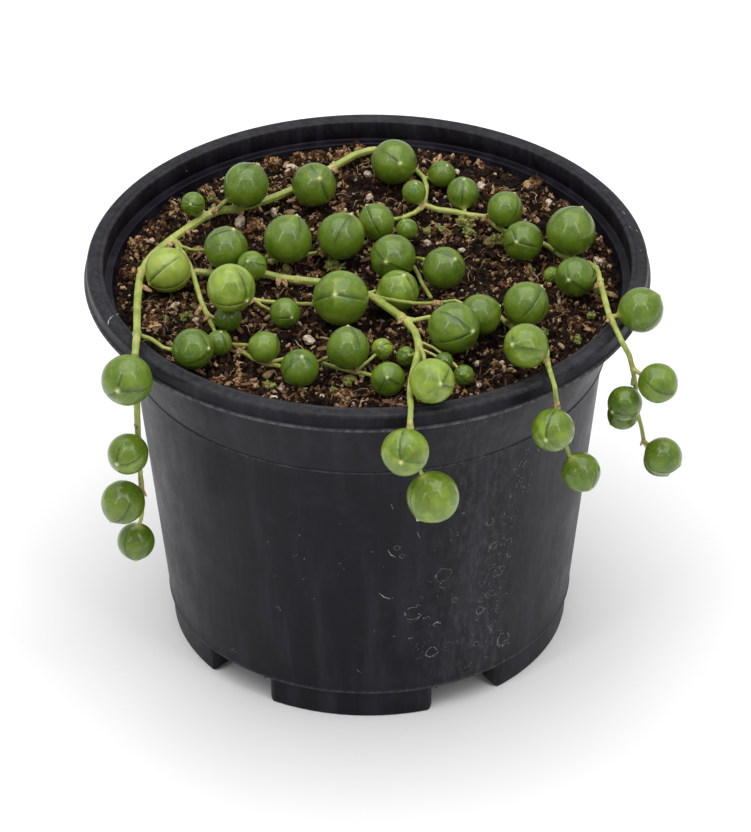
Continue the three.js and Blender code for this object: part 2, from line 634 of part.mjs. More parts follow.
// Moves one pearl of each pair that touches, or that is seen in the wrong order, by one step.
function parted(settled, draw) {
  let moved = false;
  const names = [...settled.keys()];
  names.forEach((first, i) => names.slice(i + 1).forEach((second) => {
    const order = inFront.find((pair) => pair.includes(first) && pair.includes(second));
    const byDepth = (p, q) => settled.get(p).depth - settled.get(q).depth;
    const [near, far] = (order ?? [first, second].sort(byDepth)).map((name) => settled.get(name));
    const space = near.center.distanceTo(far.center) - near.radius - far.radius;
    const wrongOrder = order && near.depth > far.depth;
    if ((space < PEARL_SPACING || wrongOrder) && !near.front) {
      draw(near);
      moved = true;
    }
  }));
  return moved;
}

// The way a pearl points: to its tip as seen, and towards the eye if that is inside its outline.
function tipDirection({ center, depth, radius, tip }) {
  const direction = atDepth(tip, depth).sub(center).divideScalar(radius);
  const spread = Math.min(direction.length(), 1);
  const lean = Math.max(Math.sqrt(1 - spread ** 2), EDGE_LEAN);
  return direction.addScaledVector(forward, -lean).normalize();
}

// ---------------------------------------------------------------- plant

// A round leaf with its small pointed tip.
function pearlGeometry(pearl) {
  const outline = [];
  for (let i = 0; i < PEARL_RINGS; i += 1) {
    const angle = (Math.PI * i) / PEARL_RINGS;
    outline.push([pearl.radius * Math.sin(angle), -pearl.radius * Math.cos(angle)]);
  }
  outline.push([0, pearl.radius * PEARL_TIP]);
  const turn = new THREE.Quaternion().setFromUnitVectors(vertical, tipDirection(pearl));
  return mergeVertices(turned(outline, PEARL_SIDES).applyQuaternion(turn));
}

// One rooted strand: its stretches of stem, swollen joints, leaf stalks and buds, as one piece.
// A stalk runs towards its pearl's middle, and is cut off just short of the leaf.
function stemGeometry(name, settled) {
  const { runs, joints, stalks, buds } = strands[name];
  const [[[rootRadius], [start]]] = runs;
  const root = [start, start.clone().setZ(SOIL_TOP - ROOT_DEPTH)];
  let stem = tube(root, [rootRadius, rootRadius], STEM_SIDES);
  for (const [center, radius] of [[start, rootRadius], ...joints]) {
    stem = stem.add(ball(center, radius, JOINT_DETAIL));
  }
  for (const [radii, route] of runs) {
    stem = stem.add(tube(route, radii, STEM_SIDES));
  }
  for (const [number, radius, route] of stalks) {
    const { center } = settled.get(`${name}${number}`);
    stem = stem.add(tube([...route, center], [radius, radius], STALK_SIDES));
  }
  for (const [center, size, radius, route] of buds) {
    stem = stem.add(tube([...route, center], [radius, radius], STALK_SIDES));
    stem = stem.add(ball(center, size, BUD_DETAIL));
  }
  for (const { center, radius } of settled.values()) {
    stem = stem.subtract(ball(center, radius + GAP, CLEARANCE_DETAIL));
  }
  return geometryOf(stem);
}

// ---------------------------------------------------------------- assembly

const group = new THREE.Group();
group.position.set(-FOOTPRINT_MIDDLE.x, -FOOTPRINT_MIDDLE.y, 0);

function addPiece(name, geometry, material) {
  const mesh = new THREE.Mesh(geometry, material);
  mesh.name = name;
  group.add(mesh);
  return mesh;
}

const settled = settledPearls();
addPiece('pot', potGeometry(), potFinish());
addPiece('soil', soilGeometry(), soilFinish());
for (const name of Object.keys(strands)) {
  addPiece(`stem_${name}`, stemGeometry(name, settled), stemFinish());
}
for (const [name, pearl] of settled) {
  addPiece(`pearl_${name}`, pearlGeometry(pearl), pearlFinish()).position.copy(pearl.center);
}

export default group;
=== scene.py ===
import math
import random

import bmesh
import bpy
import numpy as np
from mathutils import Matrix, Quaternion, Vector, noise


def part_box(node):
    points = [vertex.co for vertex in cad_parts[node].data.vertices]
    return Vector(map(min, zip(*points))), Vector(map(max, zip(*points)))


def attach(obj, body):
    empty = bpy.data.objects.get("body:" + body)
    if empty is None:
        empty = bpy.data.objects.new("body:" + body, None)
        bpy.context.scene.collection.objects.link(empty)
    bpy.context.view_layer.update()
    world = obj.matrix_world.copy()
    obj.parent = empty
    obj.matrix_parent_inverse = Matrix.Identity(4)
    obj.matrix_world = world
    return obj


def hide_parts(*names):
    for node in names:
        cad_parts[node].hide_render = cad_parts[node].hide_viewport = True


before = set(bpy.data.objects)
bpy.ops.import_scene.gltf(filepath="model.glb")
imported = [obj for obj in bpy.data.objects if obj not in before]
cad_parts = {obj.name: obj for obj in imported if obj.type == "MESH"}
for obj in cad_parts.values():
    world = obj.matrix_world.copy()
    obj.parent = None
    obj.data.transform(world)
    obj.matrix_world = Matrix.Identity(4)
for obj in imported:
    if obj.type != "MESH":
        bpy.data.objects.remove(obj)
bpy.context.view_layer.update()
scene = bpy.context.scene

# ---------------------------------------------------------------- sizes
# Shapes are worked out in millimetres about the pot's axis, and become metres in the frame when
# their mesh is made. z = 0 is under the pot's feet.

MM = 0.001
pot_low, pot_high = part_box("pot")
AXIS = Vector(((pot_low[0] + pot_high[0]) / 2, (pot_low[1] + pot_high[1]) / 2, 0))
POT_HEIGHT = pot_high[2] / MM
RIM_RADIUS = (pot_high[0] - pot_low[0]) / 2 / MM
SOIL_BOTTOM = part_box("soil")[0][2] / MM
SOIL_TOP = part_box("soil")[1][2] / MM

WALL = 1.2
FOOT_RADIUS = 38.6
FOOT_INNER_RADIUS = 36.9
FOOT_HEIGHT = 6.0
FOOT_STEP = 0.7
STEP_RADIUS = 45.2
STEP_HEIGHT = 61.5
COLLAR_RADIUS = 49.4
COLLAR_HEIGHT = 74.9
SHOULDER_RADIUS = 51.0
SHOULDER_HEIGHT = 75.4
RIM_BOTTOM = 76.2
RIM_INNER_RADIUS = 49.8
FLOOR_TOP = 7.4
NOTCH_ANGLES = (-40.5, 28.2, 101, 173.9, -113.3)  # degrees from the front towards +X
NOTCH_WIDTH = 12.4
NOTCH_CORNER = 1.4
FOOT_CORNER = 2.2
RETURN_LENGTH = 9.0
RETURN_CORNER = 1.8
DRAIN_RADIUS = 4.0
DRAIN_CIRCLE_RADIUS = 29.0
POT_SIDES = 288
DUST_ANGLE = 30.0  # degrees from the front towards +X, where the wall is dustiest
DUST_SPREAD = 14.0
# How pale the plastic's edges are painted, from 0 to 1: a painted highlight along the foot's edge, the step
# line, the skirt's lower edge and over the rim's top.
FOOT_HIGHLIGHT = 0.4
STEP_HIGHLIGHT = 0.6
SKIRT_HIGHLIGHT = 0.9
RIM_TOP_HIGHLIGHT = 0.18

# ---------------------------------------------------------------- view
# The photograph's view: its middle and focal length in pixels, and where the eye stands.

VIEW_WIDTH = 751
VIEW_HEIGHT = 832
VIEW_FOCUS = 4739.0
EYE_DISTANCE = 914.5
EYE_PITCH = math.radians(34.5)
EYE_YAW = math.radians(-0.105)
EYE_ROLL = math.radians(-0.335)
SIGHTED_HEIGHT = 43.2
SENSOR = 36.0

forward = Vector((0, math.cos(EYE_PITCH), -math.sin(EYE_PITCH)))
eye = forward * -EYE_DISTANCE
eye.z += SIGHTED_HEIGHT
forward.rotate(Quaternion((0, 0, 1), EYE_YAW))
rightward = forward.cross(Vector((0, 0, 1))).normalized()
rightward.rotate(Quaternion(forward, -EYE_ROLL))
upward = rightward.cross(forward)


def sight(across, down):
    """The line of sight through a place in the view, as the move for each millimetre of depth."""
    right = (across - VIEW_WIDTH / 2) / VIEW_FOCUS
    up = (VIEW_HEIGHT / 2 - down) / VIEW_FOCUS
    return forward + rightward * right + upward * up


def at_height(across, down, height):
    """The point seen at a place, at a height over the floor."""
    line = sight(across, down)
    return eye + line * ((height - eye.z) / line.z)


def over(across, down, rise=0.0):
    """The point seen at a place, at a height over the soil."""
    return at_height(across, down, SOIL_TOP + rise)


def wall_radius(height):
    """The radius of the pot's outer wall at a height."""
    if height < STEP_HEIGHT:
        share = (height - FOOT_HEIGHT) / (STEP_HEIGHT - FOOT_HEIGHT)
        low = FOOT_RADIUS + FOOT_STEP
        return low + share * (STEP_RADIUS - 0.2 - low)
    share = (height - STEP_HEIGHT) / (COLLAR_HEIGHT - STEP_HEIGHT)
    low = STEP_RADIUS + 0.2
    return low + share * (COLLAR_RADIUS - low)


def on_wall(across, down):
    """The point of the pot's outer wall seen at a place."""
    line = sight(across, down)
    near, far = EYE_DISTANCE - 70, EYE_DISTANCE
    for _ in range(40):
        middle = (near + far) / 2
        point = eye + line * middle
        if math.hypot(point.x, point.y) > wall_radius(point.z):
            near = middle
        else:
            far = middle
    return eye + line * far


# ---------------------------------------------------------------- meshes and pieces

def hump(values, middle, width):
    """1 at the middle, falling off alike to both sides, to about a third at a width from it."""
    return np.exp(-((values - middle) / width) ** 2)


def mesh_of(name, vertices, faces, masks=None, smooth=True):
    """A mesh from vertices in millimetres about the pot's axis."""
    mesh = bpy.data.meshes.new(name)
    placed = np.asarray(vertices, dtype=float) * MM + np.array(AXIS)
    mesh.from_pydata(placed.tolist(), [], faces)
    for mask, values in (masks or {}).items():
        attribute = mesh.attributes.new(mask, "FLOAT", "POINT")
        attribute.data.foreach_set("value", np.asarray(values, float))
    mesh.polygons.foreach_set("use_smooth", [smooth] * len(mesh.polygons))
    mesh.update()
    return mesh


def add_piece(mesh, slot, material, *replaced):
    """Adds a mesh as a piece of the part, under the mesh's own name."""
    piece = bpy.data.objects.new(mesh.name, mesh)
    scene.collection.objects.link(piece)
    mesh.materials.append(material)
    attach(piece, "root")
    if replaced:
        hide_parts(*replaced)


def loose_object(vertices, faces):
    """An object to work on, in millimetres, which isn't kept."""
    mesh = bpy.data.meshes.new("blank")
    mesh.from_pydata([tuple(v) for v in vertices], [], faces)
    thing = bpy.data.objects.new("blank", mesh)
    scene.collection.objects.link(thing)
    return thing


def shaped(source, modifiers):
    """The mesh of a loose object once its modifiers have acted. The object is removed."""
    for kind, settings in modifiers:
        modifier = source.modifiers.new(kind.lower(), kind)
        for name, value in settings.items():
            setattr(modifier, name, value)
    bpy.context.view_layer.update()
    graph = bpy.context.evaluated_depsgraph_get()
    mesh = bpy.data.meshes.new_from_object(source.evaluated_get(graph))
    bpy.data.objects.remove(source)
    return mesh


def arrays(mesh):
    """A mesh's vertices, as an array, and its faces."""
    vertices = np.empty(len(mesh.vertices) * 3)
    mesh.vertices.foreach_get("co", vertices)
    return vertices.reshape(-1, 3), [tuple(face.vertices) for face in mesh.polygons]


def node_shape(name):
    """A CAD node's corners, in millimetres about the pot's axis, and its faces."""
    vertices, faces = arrays(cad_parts[name].data)
    placed = np.round((vertices - np.array(AXIS)) / MM, 4)
    corners, kept = np.unique(placed, axis=0, return_inverse=True)
    kept = kept.reshape(-1)
    return corners, [tuple(int(kept[i]) for i in face) for face in faces]


def merged(parts):
    """The vertices and faces of many small parts as one list of each, and each part's size."""
    vertices, faces, counts = [], [], []
    for part_vertices, part_faces in parts:
        start = len(vertices)
        vertices += [tuple(v) for v in part_vertices]
        faces += [tuple(start + i for i in face) for face in part_faces]
        counts.append(len(part_vertices))
    return vertices, faces, counts


def shell_faces(rings, columns, first, start, last):
    """Faces of rings of vertices, which begin at start, between a first and a last vertex."""
    top = start + (rings - 1) * columns
    faces = []
    for k in range(columns):
        j = (k + 1) % columns
        faces.append((first, start + j, start + k))
        faces.append((last, top + k, top + j))
        for low in range(start, top, columns):
            high = low + columns
            faces.append((low + k, low + j, high + j, high + k))
    return faces


def tube_faces(rings, columns):
    """Faces of an open tube made of rings of vertices."""
    faces = []
    for i in range(rings - 1):
        low, high = i * columns, (i + 1) * columns
        for k in range(columns):
            j = (k + 1) % columns
            faces.append((low + k, low + j, high + j, high + k))
    return faces


def inside_out(faces):
    """The same faces, turned to the other side. Each keeps its first corner."""
    return [(face[0], *face[:0:-1]) for face in faces]


def joined(name, parts, tones):
    """One mesh of many small parts, each with its tone."""
    vertices, faces, counts = merged(parts)
    return mesh_of(name, vertices, faces, {"tone": np.repeat(tones, counts)})


# ---------------------------------------------------------------- materials

class Look:
    """A material's node tree, built around one Principled shader."""

    def __init__(self, name, **sockets):
        self.material = bpy.data.materials.new(name)
        self.material.use_nodes = True
        self.tree = self.material.node_tree
        self.shader = self.tree.nodes["Principled BSDF"]
        for socket, value in sockets.items():
            self.shader.inputs[socket.replace("_", " ")].default_value = value
        self.place = self.node("ShaderNodeTexCoord").outputs["Object"]

    def node(self, kind, inputs=None, **settings):
        """A new node with its settings, and with what feeds its inputs."""
        made = self.tree.nodes.new(kind)
        for name, value in settings.items():
            setattr(made, name, value)
        for name, value in (inputs or {}).items():
            self.link(value, made.inputs[name])
        return made

    def link(self, value, socket):
        """Feeds a socket with another socket, a number or a colour."""
        if isinstance(value, bpy.types.NodeSocket):
            self.tree.links.new(value, socket)
        elif isinstance(value, tuple):
            socket.default_value = (*value, 1.0)
        else:
            socket.default_value = value

    def stretched(self, x, y, z):
        inputs = {"Vector": self.place, "Scale": Vector((x, y, z))}
        return self.node("ShaderNodeMapping", inputs).outputs["Vector"]

    def noise(self, size, detail=4.0, roughness=0.55, place=None):
        """Noise whose lumps are about size millimetres across."""
        inputs = {"Vector": place or self.place, "Scale": 1 / (size * MM)}
        inputs.update({"Detail": detail, "Roughness": roughness})
        return self.node("ShaderNodeTexNoise", inputs).outputs["Fac"]

    def cells(self, size):
        """The distance to the nearest of points spread about size millimetres apart."""
        inputs = {"Vector": self.place, "Scale": 1 / (size * MM)}
        return self.node("ShaderNodeTexVoronoi", inputs).outputs["Distance"]

    def mask(self, name):
        return self.node("ShaderNodeAttribute", attribute_name=name).outputs["Fac"]

    def ramp(self, value, low, high, to_low=0.0, to_high=1.0):
        """A value taken smoothly from one range to another."""
        inputs = {"Value": value, "From Min": low, "From Max": high, "To Min": to_low, "To Max": to_high}
        made = self.node("ShaderNodeMapRange", inputs, interpolation_type="SMOOTHSTEP")
        return made.outputs["Result"]

    def times(self, first, second):
        return self.node("ShaderNodeMath", {0: first, 1: second}, operation="MULTIPLY").outputs["Value"]

    def plus(self, first, second):
        return self.node("ShaderNodeMath", {0: first, 1: second}, operation="ADD").outputs["Value"]

    def mix(self, share, first, second):
        """A colour between two. The node's sockets for colours are found by their places."""
        made = self.node("ShaderNodeMix", data_type="RGBA")
        for place, value in ((0, share), (6, first), (7, second)):
            self.link(value, made.inputs[place])
        return made.outputs[2]

    def bump(self, height, depth, under=None):
        """Relief of a depth in millimetres, on top of another relief."""
        made = self.node("ShaderNodeBump", {"Distance": depth * MM, "Height": height})
        if under is not None:
            self.link(under, made.inputs["Normal"])
        return made.outputs["Normal"]

    def finish(self, colour, roughness, normal):
        self.link(colour, self.shader.inputs["Base Color"])
        self.link(roughness, self.shader.inputs["Roughness"])
        self.link(normal, self.shader.inputs["Normal"])
        return self.material


POT_BLACK = (0.0042, 0.0034, 0.0066)
POT_GREY = (0.0150, 0.0135, 0.0205)
POT_DUST = (0.12, 0.12, 0.122)
POT_EDGE_HIGHLIGHT = (0.13, 0.13, 0.135)


def pot_look():
    look = Look("pot_plastic", Specular_IOR_Level=0.15)
    streaks = look.noise(5.0, 5, 0.6, look.stretched(1, 1, 0.06))
    patches = look.noise(11.0, 6, 0.65)
    grain = look.noise(0.45, 4, 0.65)
    scuffs = look.noise(1.1, 6, 0.7, look.stretched(1, 1, 0.35))
    colour = look.mix(look.ramp(streaks, 0.45, 0.70), POT_BLACK, POT_GREY)
    colour = look.mix(look.times(look.ramp(patches, 0.5, 0.70), 0.6), colour, POT_GREY)
    specks = look.times(look.ramp(look.cells(0.8), 0.10, 0.03), look.ramp(scuffs, 0.6, 0.7))
    colour = look.mix(look.times(specks, 0.5), colour, POT_DUST)
    film = look.times(look.mask("dust"), look.ramp(scuffs, 0.42, 0.72, 0.02, 0.28))
    colour = look.mix(film, colour, POT_DUST)
    # Painted highlight: the edges in the mask turn pale, broken up by the scuffs.
    worn = look.times(look.mask("wear_and_edge_highlight"), look.ramp(scuffs, 0.35, 0.65, 0.25, 0.9))
    colour = look.mix(worn, colour, POT_EDGE_HIGHLIGHT)
    wear_and_edge_highlight = look.plus(patches, look.times(scuffs, 0.5))
    roughness = look.ramp(wear_and_edge_highlight, 0.5, 1.0, 0.34, 0.50)
    relief = look.bump(grain, 0.02)
    relief = look.bump(look.noise(3.0, 3, 0.5, look.stretched(1, 1, 0.25)), 0.06, relief)
    return look.finish(colour, roughness, relief)


SOIL_BLACK = (0.0050, 0.0024, 0.0014)
SOIL_DARK = (0.024, 0.0105, 0.0048)
SOIL_BROWN = (0.160, 0.073, 0.029)
SOIL_TAN = (0.66, 0.43, 0.225)


def soil_look(name):
    """Peat and crumbs: the attribute tone goes from 0, dark, to 1, dry and tan. On the bed, the dark end is
    painted shade in the hollows between its lumps.
    """
    look = Look(name, Specular_IOR_Level=0.16)
    grain = look.noise(0.40, 6, 0.75)
    flecks = look.noise(0.85, 5, 0.7)
    tone = look.plus(look.mask("tone"), look.ramp(flecks, 0.25, 0.75, -0.28, 0.28))
    colour = look.mix(look.ramp(tone, 0.05, 0.35), SOIL_BLACK, SOIL_DARK)
    colour = look.mix(look.ramp(tone, 0.30, 0.65), colour, SOIL_BROWN)
    colour = look.mix(look.ramp(tone, 0.62, 1.05), colour, SOIL_TAN)
    colour = look.mix(look.times(look.ramp(grain, 0.56, 0.40), 0.6), colour, SOIL_DARK)
    relief = look.bump(flecks, 0.3, look.bump(grain, 0.3))
    return look.finish(colour, look.ramp(grain, 0.3, 0.7, 0.55, 0.9), relief)


FIBRE_BROWN = (0.16, 0.080, 0.038)
FIBRE_PALE = (0.50, 0.34, 0.19)


def fibre_look():
    look = Look("bark_and_fibre")
    grain = look.noise(0.5, 6, 0.7)
    colour = look.mix(look.ramp(grain, 0.35, 0.7), SOIL_BROWN, FIBRE_BROWN)
    colour = look.mix(look.ramp(look.mask("tone"), 0.35, 1.0), colour, FIBRE_PALE)
    return look.finish(colour, 0.75, look.bump(grain, 0.2))


PERLITE_WHITE = (0.70, 0.58, 0.43)
PERLITE_GREY = (0.27, 0.20, 0.13)


def perlite_look():
    look = Look("perlite_grains", Subsurface_Weight=0.1, Subsurface_Scale=0.0004)
    grain = look.noise(0.7, 6, 0.7)
    pores = look.cells(0.5)
    colour = look.mix(look.ramp(grain, 0.40, 0.56), PERLITE_GREY, PERLITE_WHITE)
    colour = look.mix(look.times(look.ramp(pores, 0.20, 0.05), 0.7), colour, SOIL_BROWN)
    colour = look.mix(look.ramp(look.mask("tone"), 0.5, 0.0), colour, PERLITE_GREY)
    return look.finish(colour, 0.7, look.bump(grain, 0.3, look.bump(pores, 0.15)))


MOSS_LIGHT = (0.44, 0.47, 0.110)
MOSS_GREEN = (0.110, 0.140, 0.016)


def moss_look():
    look = Look("moss_lumps", Subsurface_Weight=0.1, Subsurface_Scale=0.0005)
    grain = look.noise(0.6, 6, 0.7)
    colour = look.mix(look.ramp(grain, 0.40, 0.66), MOSS_GREEN, MOSS_LIGHT)
    colour = look.mix(look.ramp(look.noise(1.2, 4, 0.6), 0.50, 0.66), colour, SOIL_BROWN)
    return look.finish(colour, 0.6, look.bump(grain, 0.35))


LEAF_DEEP = (0.046, 0.096, 0.0050)
LEAF_MIDDLE = (0.106, 0.178, 0.0100)
LEAF_LIGHT = (0.250, 0.345, 0.0330)
LEAF_WINDOW_SHADE = (0.022, 0.055, 0.0040)
LEAF_PALE = (0.40, 0.45, 0.110)
LEAF_TIP = (0.62, 0.62, 0.240)


def leaf_look():
    look = Look(
        "pearl_leaf", IOR=1.42, Specular_IOR_Level=0.3, Subsurface_Weight=0.25,
        Subsurface_Scale=0.0011, Coat_Weight=0.7, Coat_Roughness=0.12, Coat_IOR=1.45)
    look.shader.inputs["Subsurface Radius"].default_value = (0.7, 1.0, 0.2)
    clouds = look.noise(3.0, 4, 0.6)
    fine = look.noise(0.5, 5, 0.65)
    drift = look.times(look.ramp(clouds, 0.3, 0.7, -0.5, 0.5), 0.4)
    tone = look.plus(look.mask("tone"), drift)
    colour = look.mix(look.ramp(tone, 0.0, 0.6), LEAF_DEEP, LEAF_MIDDLE)
    colour = look.mix(look.ramp(tone, 0.5, 1.15), colour, LEAF_LIGHT)
    colour = look.mix(look.ramp(tone, 0.9, 1.6, 0.0, 0.7), colour, LEAF_PALE)
    colour = look.mix(look.times(look.ramp(fine, 0.48, 0.70), 0.3), colour, LEAF_LIGHT)
    dots = look.times(look.ramp(look.cells(0.7), 0.15, 0.05), look.ramp(clouds, 0.45, 0.6))
    colour = look.mix(look.times(dots, 0.2), colour, LEAF_PALE)
    colour = look.mix(look.mask("neck"), colour, LEAF_PALE)
    ribs = look.ramp(look.noise(0.8, 4, 0.6), 0.3, 0.7, 0.5, 0.95)
    # The leaf's translucent window along each fold, darkened further as painted shade in the fold.
    colour = look.mix(look.times(look.mask("window_and_fold_shade"), ribs), colour, LEAF_WINDOW_SHADE)
    colour = look.mix(look.mask("tip"), colour, LEAF_TIP)
    roughness = look.ramp(fine, 0.3, 0.75, 0.38, 0.50)
    return look.finish(colour, roughness, look.bump(fine, 0.015, look.bump(clouds, 0.12)))


STEM_GREEN = (0.235, 0.300, 0.046)
STEM_PALE = (0.430, 0.480, 0.115)
STEM_JOINT = (0.540, 0.490, 0.160)
STEM_BROWN = (0.230, 0.120, 0.045)


def stem_look():
    look = Look("stem_skin", Subsurface_Weight=0.15, Subsurface_Scale=0.0007, Coat_Weight=0.15)
    look.shader.inputs["Coat Roughness"].default_value = 0.25
    lengths = look.noise(5.0, 4, 0.6)
    fine = look.noise(0.45, 5, 0.7)
    joint = look.mask("joint")
    colour = look.mix(look.ramp(lengths, 0.35, 0.68), STEM_GREEN, STEM_PALE)
    colour = look.mix(look.times(joint, 0.8), colour, STEM_JOINT)
    bruise = look.times(joint, look.ramp(fine, 0.46, 0.60))
    colour = look.mix(look.times(bruise, 0.75), colour, STEM_BROWN)
    flecks = look.ramp(look.plus(fine, lengths), 1.10, 1.28)
    colour = look.mix(look.times(flecks, 0.5), colour, STEM_BROWN)
    return look.finish(colour, look.ramp(fine, 0.3, 0.7, 0.38, 0.55), look.bump(fine, 0.10))


DRY_BROWN = (0.20, 0.092, 0.033)
DRY_PALE = (0.50, 0.345, 0.155)


def dry_look():
    look = Look("dry_bract", Subsurface_Weight=0.1, Subsurface_Scale=0.0005)
    grain = look.noise(0.6, 5, 0.7)
    colour = look.mix(look.ramp(grain, 0.38, 0.62), DRY_BROWN, DRY_PALE)
    return look.finish(colour, 0.6, look.bump(grain, 0.1))


MARK_WHITE = (0.50, 0.50, 0.49)
MARK_FAINT = (0.030, 0.030, 0.031)


def mark_look():
    look = Look("water_mark")
    grain = look.noise(0.6, 5, 0.7)
    tone = look.times(look.mask("tone"), look.ramp(grain, 0.36, 0.62, 0.25, 1.0))
    return look.finish(look.mix(tone, MARK_FAINT, MARK_WHITE), 0.8, look.bump(grain, 0.03))


# ---------------------------------------------------------------- pot

def arc(center, radius, start, end, steps=6):
    """Points of an arc, in degrees from the first axis towards the second."""
    for i in range(steps + 1):
        angle = math.radians(start + (end - start) * i / steps)
        yield center[0] + radius * math.cos(angle), center[1] + radius * math.sin(angle)


def foot_outline():
    """From the middle of the floor's underside out, round the foot and over the step above it."""
    return [
        (0.0, FOOT_HEIGHT),
        *arc((FOOT_INNER_RADIUS - 0.4, FOOT_HEIGHT - 0.4), 0.4, 90, 0),
        *arc((FOOT_INNER_RADIUS + 0.3, 0.3), 0.3, 180, 270),
        *arc((FOOT_RADIUS - 0.35, 0.35), 0.35, 270, 360),
        (FOOT_RADIUS + 0.05, FOOT_HEIGHT - 0.3),
        *arc((FOOT_RADIUS + FOOT_STEP - 0.08, FOOT_HEIGHT + 0.28), 0.28, 270, 410, 9),
    ]


def wall_outline():
    """Up the wall, over the thin step line, and out at the shoulder under the rim."""
    lower = [(wall_radius(h), h) for h in np.linspace(FOOT_HEIGHT + 0.8, STEP_HEIGHT - 0.5, 24)]
    upper = [(wall_radius(h), h) for h in np.linspace(STEP_HEIGHT + 0.7, COLLAR_HEIGHT - 0.5, 10)]
    return [
        *lower,
        (STEP_RADIUS - 0.16, STEP_HEIGHT - 0.15),
        (STEP_RADIUS + 0.28, STEP_HEIGHT - 0.02),
        (STEP_RADIUS + 0.42, STEP_HEIGHT + 0.10),
        (STEP_RADIUS + 0.40, STEP_HEIGHT + 0.22),
        (STEP_RADIUS + 0.26, STEP_HEIGHT + 0.42),
        *upper,
        (COLLAR_RADIUS + 0.05, COLLAR_HEIGHT),
        (SHOULDER_RADIUS - 0.2, SHOULDER_HEIGHT - 0.1),
        (SHOULDER_RADIUS, SHOULDER_HEIGHT + 0.1),
    ]


def rim_outline():
    """Under the rim, round its skirt, over its flat top and down inside to the ledge."""
    skirt_inner = RIM_RADIUS - WALL
    top = POT_HEIGHT
    groove = RIM_INNER_RADIUS + 0.95
    return [
        (SHOULDER_RADIUS, top - WALL - 0.3),
        (skirt_inner - 0.3, top - WALL - 0.3),
        *arc((skirt_inner + 0.3, RIM_BOTTOM + 0.3), 0.3, 180, 270, 4),
        *arc((RIM_RADIUS - 0.2, RIM_BOTTOM + 0.2), 0.2, 270, 405, 7),
        (RIM_RADIUS - 0.42, RIM_BOTTOM + 0.72),
        (RIM_RADIUS - 0.50, RIM_BOTTOM + 1.0),
        (RIM_RADIUS - 0.50, top - 1.25),
        *arc((RIM_RADIUS - 1.3, top - 0.85), 0.8, -8, 82, 8),
        (groove + 0.35, top - 0.04),
        (groove + 0.15, top - 0.12),
        (groove, top - 0.24),
        (groove - 0.15, top - 0.15),
        *arc((RIM_INNER_RADIUS + 0.45, top - 0.55), 0.45, 80, 180, 7),
        (RIM_INNER_RADIUS - 0.02, SHOULDER_HEIGHT + 0.7),
        *arc((RIM_INNER_RADIUS - 0.32, SHOULDER_HEIGHT + 0.35), 0.3, 0, -80, 4),
        (COLLAR_RADIUS - WALL + 0.25, SHOULDER_HEIGHT),
        *arc((COLLAR_RADIUS - WALL + 0.2, SHOULDER_HEIGHT - 0.25), 0.25, 90, 170, 4),
    ]


def inside_outline():
    return [
        (STEP_RADIUS - WALL, STEP_HEIGHT),
        (FOOT_RADIUS + FOOT_STEP - WALL, FLOOR_TOP),
        (0.0, FLOOR_TOP),
    ]


def turned(outline, sides):
    """Vertices and faces of an outline turned about the axis. Its ends are on the axis."""
    rings = outline[1:-1]
    angles = np.linspace(0, 2 * math.pi, sides, endpoint=False)
    vertices = [(r * math.cos(a), r * math.sin(a), z) for r, z in rings for a in angles]
    first, last = len(vertices), len(vertices) + 1
    vertices += [(0, 0, outline[0][1]), (0, 0, outline[-1][1])]
    return vertices, shell_faces(len(rings), sides, first, 0, last)


def prism(outline, low, high, angle, lying=False):
    """A prism of an outline, upright or lying from front to back, turned about the axis."""
    if lying:
        corners = [Vector((x, y, z)) for y in (low, high) for x, z in outline]
    else:
        corners = [Vector((x, y, z)) for z in (high, low) for x, y in outline]
    turn = Matrix.Rotation(math.radians(angle), 3, "Z")
    count = len(outline)
    faces = [tuple(range(count)), tuple(reversed(range(count, 2 * count)))]
    faces += [(i, i + count, (i + 1) % count + count, (i + 1) % count) for i in range(count)]
    return [turn @ corner for corner in corners], faces


def notch_outline():
    half = NOTCH_WIDTH / 2
    edge = half + FOOT_CORNER
    shoulder = half - NOTCH_CORNER
    top = FOOT_HEIGHT - 0.1 - NOTCH_CORNER
    return [
        (-edge, -1.0),
        (edge, -1.0),
        *arc((edge, FOOT_CORNER), FOOT_CORNER, 270, 180, 8),
        *arc((shoulder, top), NOTCH_CORNER, 0, 90, 8),
        *arc((-shoulder, top), NOTCH_CORNER, 90, 180, 8),
        *arc((-edge, FOOT_CORNER), FOOT_CORNER, 0, -90, 8),
    ]


def corner_outline(side):
    """What is cut off to round the corner where a foot turns inward beside a notch."""
    half = NOTCH_WIDTH / 2
    reach = FOOT_RADIUS - RETURN_CORNER
    center = Vector((half + RETURN_CORNER, -math.sqrt(reach ** 2 - (half + RETURN_CORNER) ** 2)))
    end = 360 + math.degrees(math.atan2(center.y, center.x))
    bend = list(arc(center, RETURN_CORNER, 180, end, 12))
    outside = center * ((FOOT_RADIUS + 1.5) / reach)
    points = [(half - 0.1, bend[0][1]), *bend, tuple(outside), (half - 0.1, outside.y)]
    if side < 0:
        return [(-x, y) for x, y in points]
    return points[::-1]


def return_outline(side):
    """The plan of a wall that turns inward from a foot, on one side of a notch."""
    near, far = sorted((side * NOTCH_WIDTH / 2, side * (NOTCH_WIDTH / 2 + WALL)))
    outer = -FOOT_INNER_RADIUS - 0.5
    inner = outer + RETURN_LENGTH + 0.5
    return [(near, outer), (far, outer), (far, inner), (near, inner)]


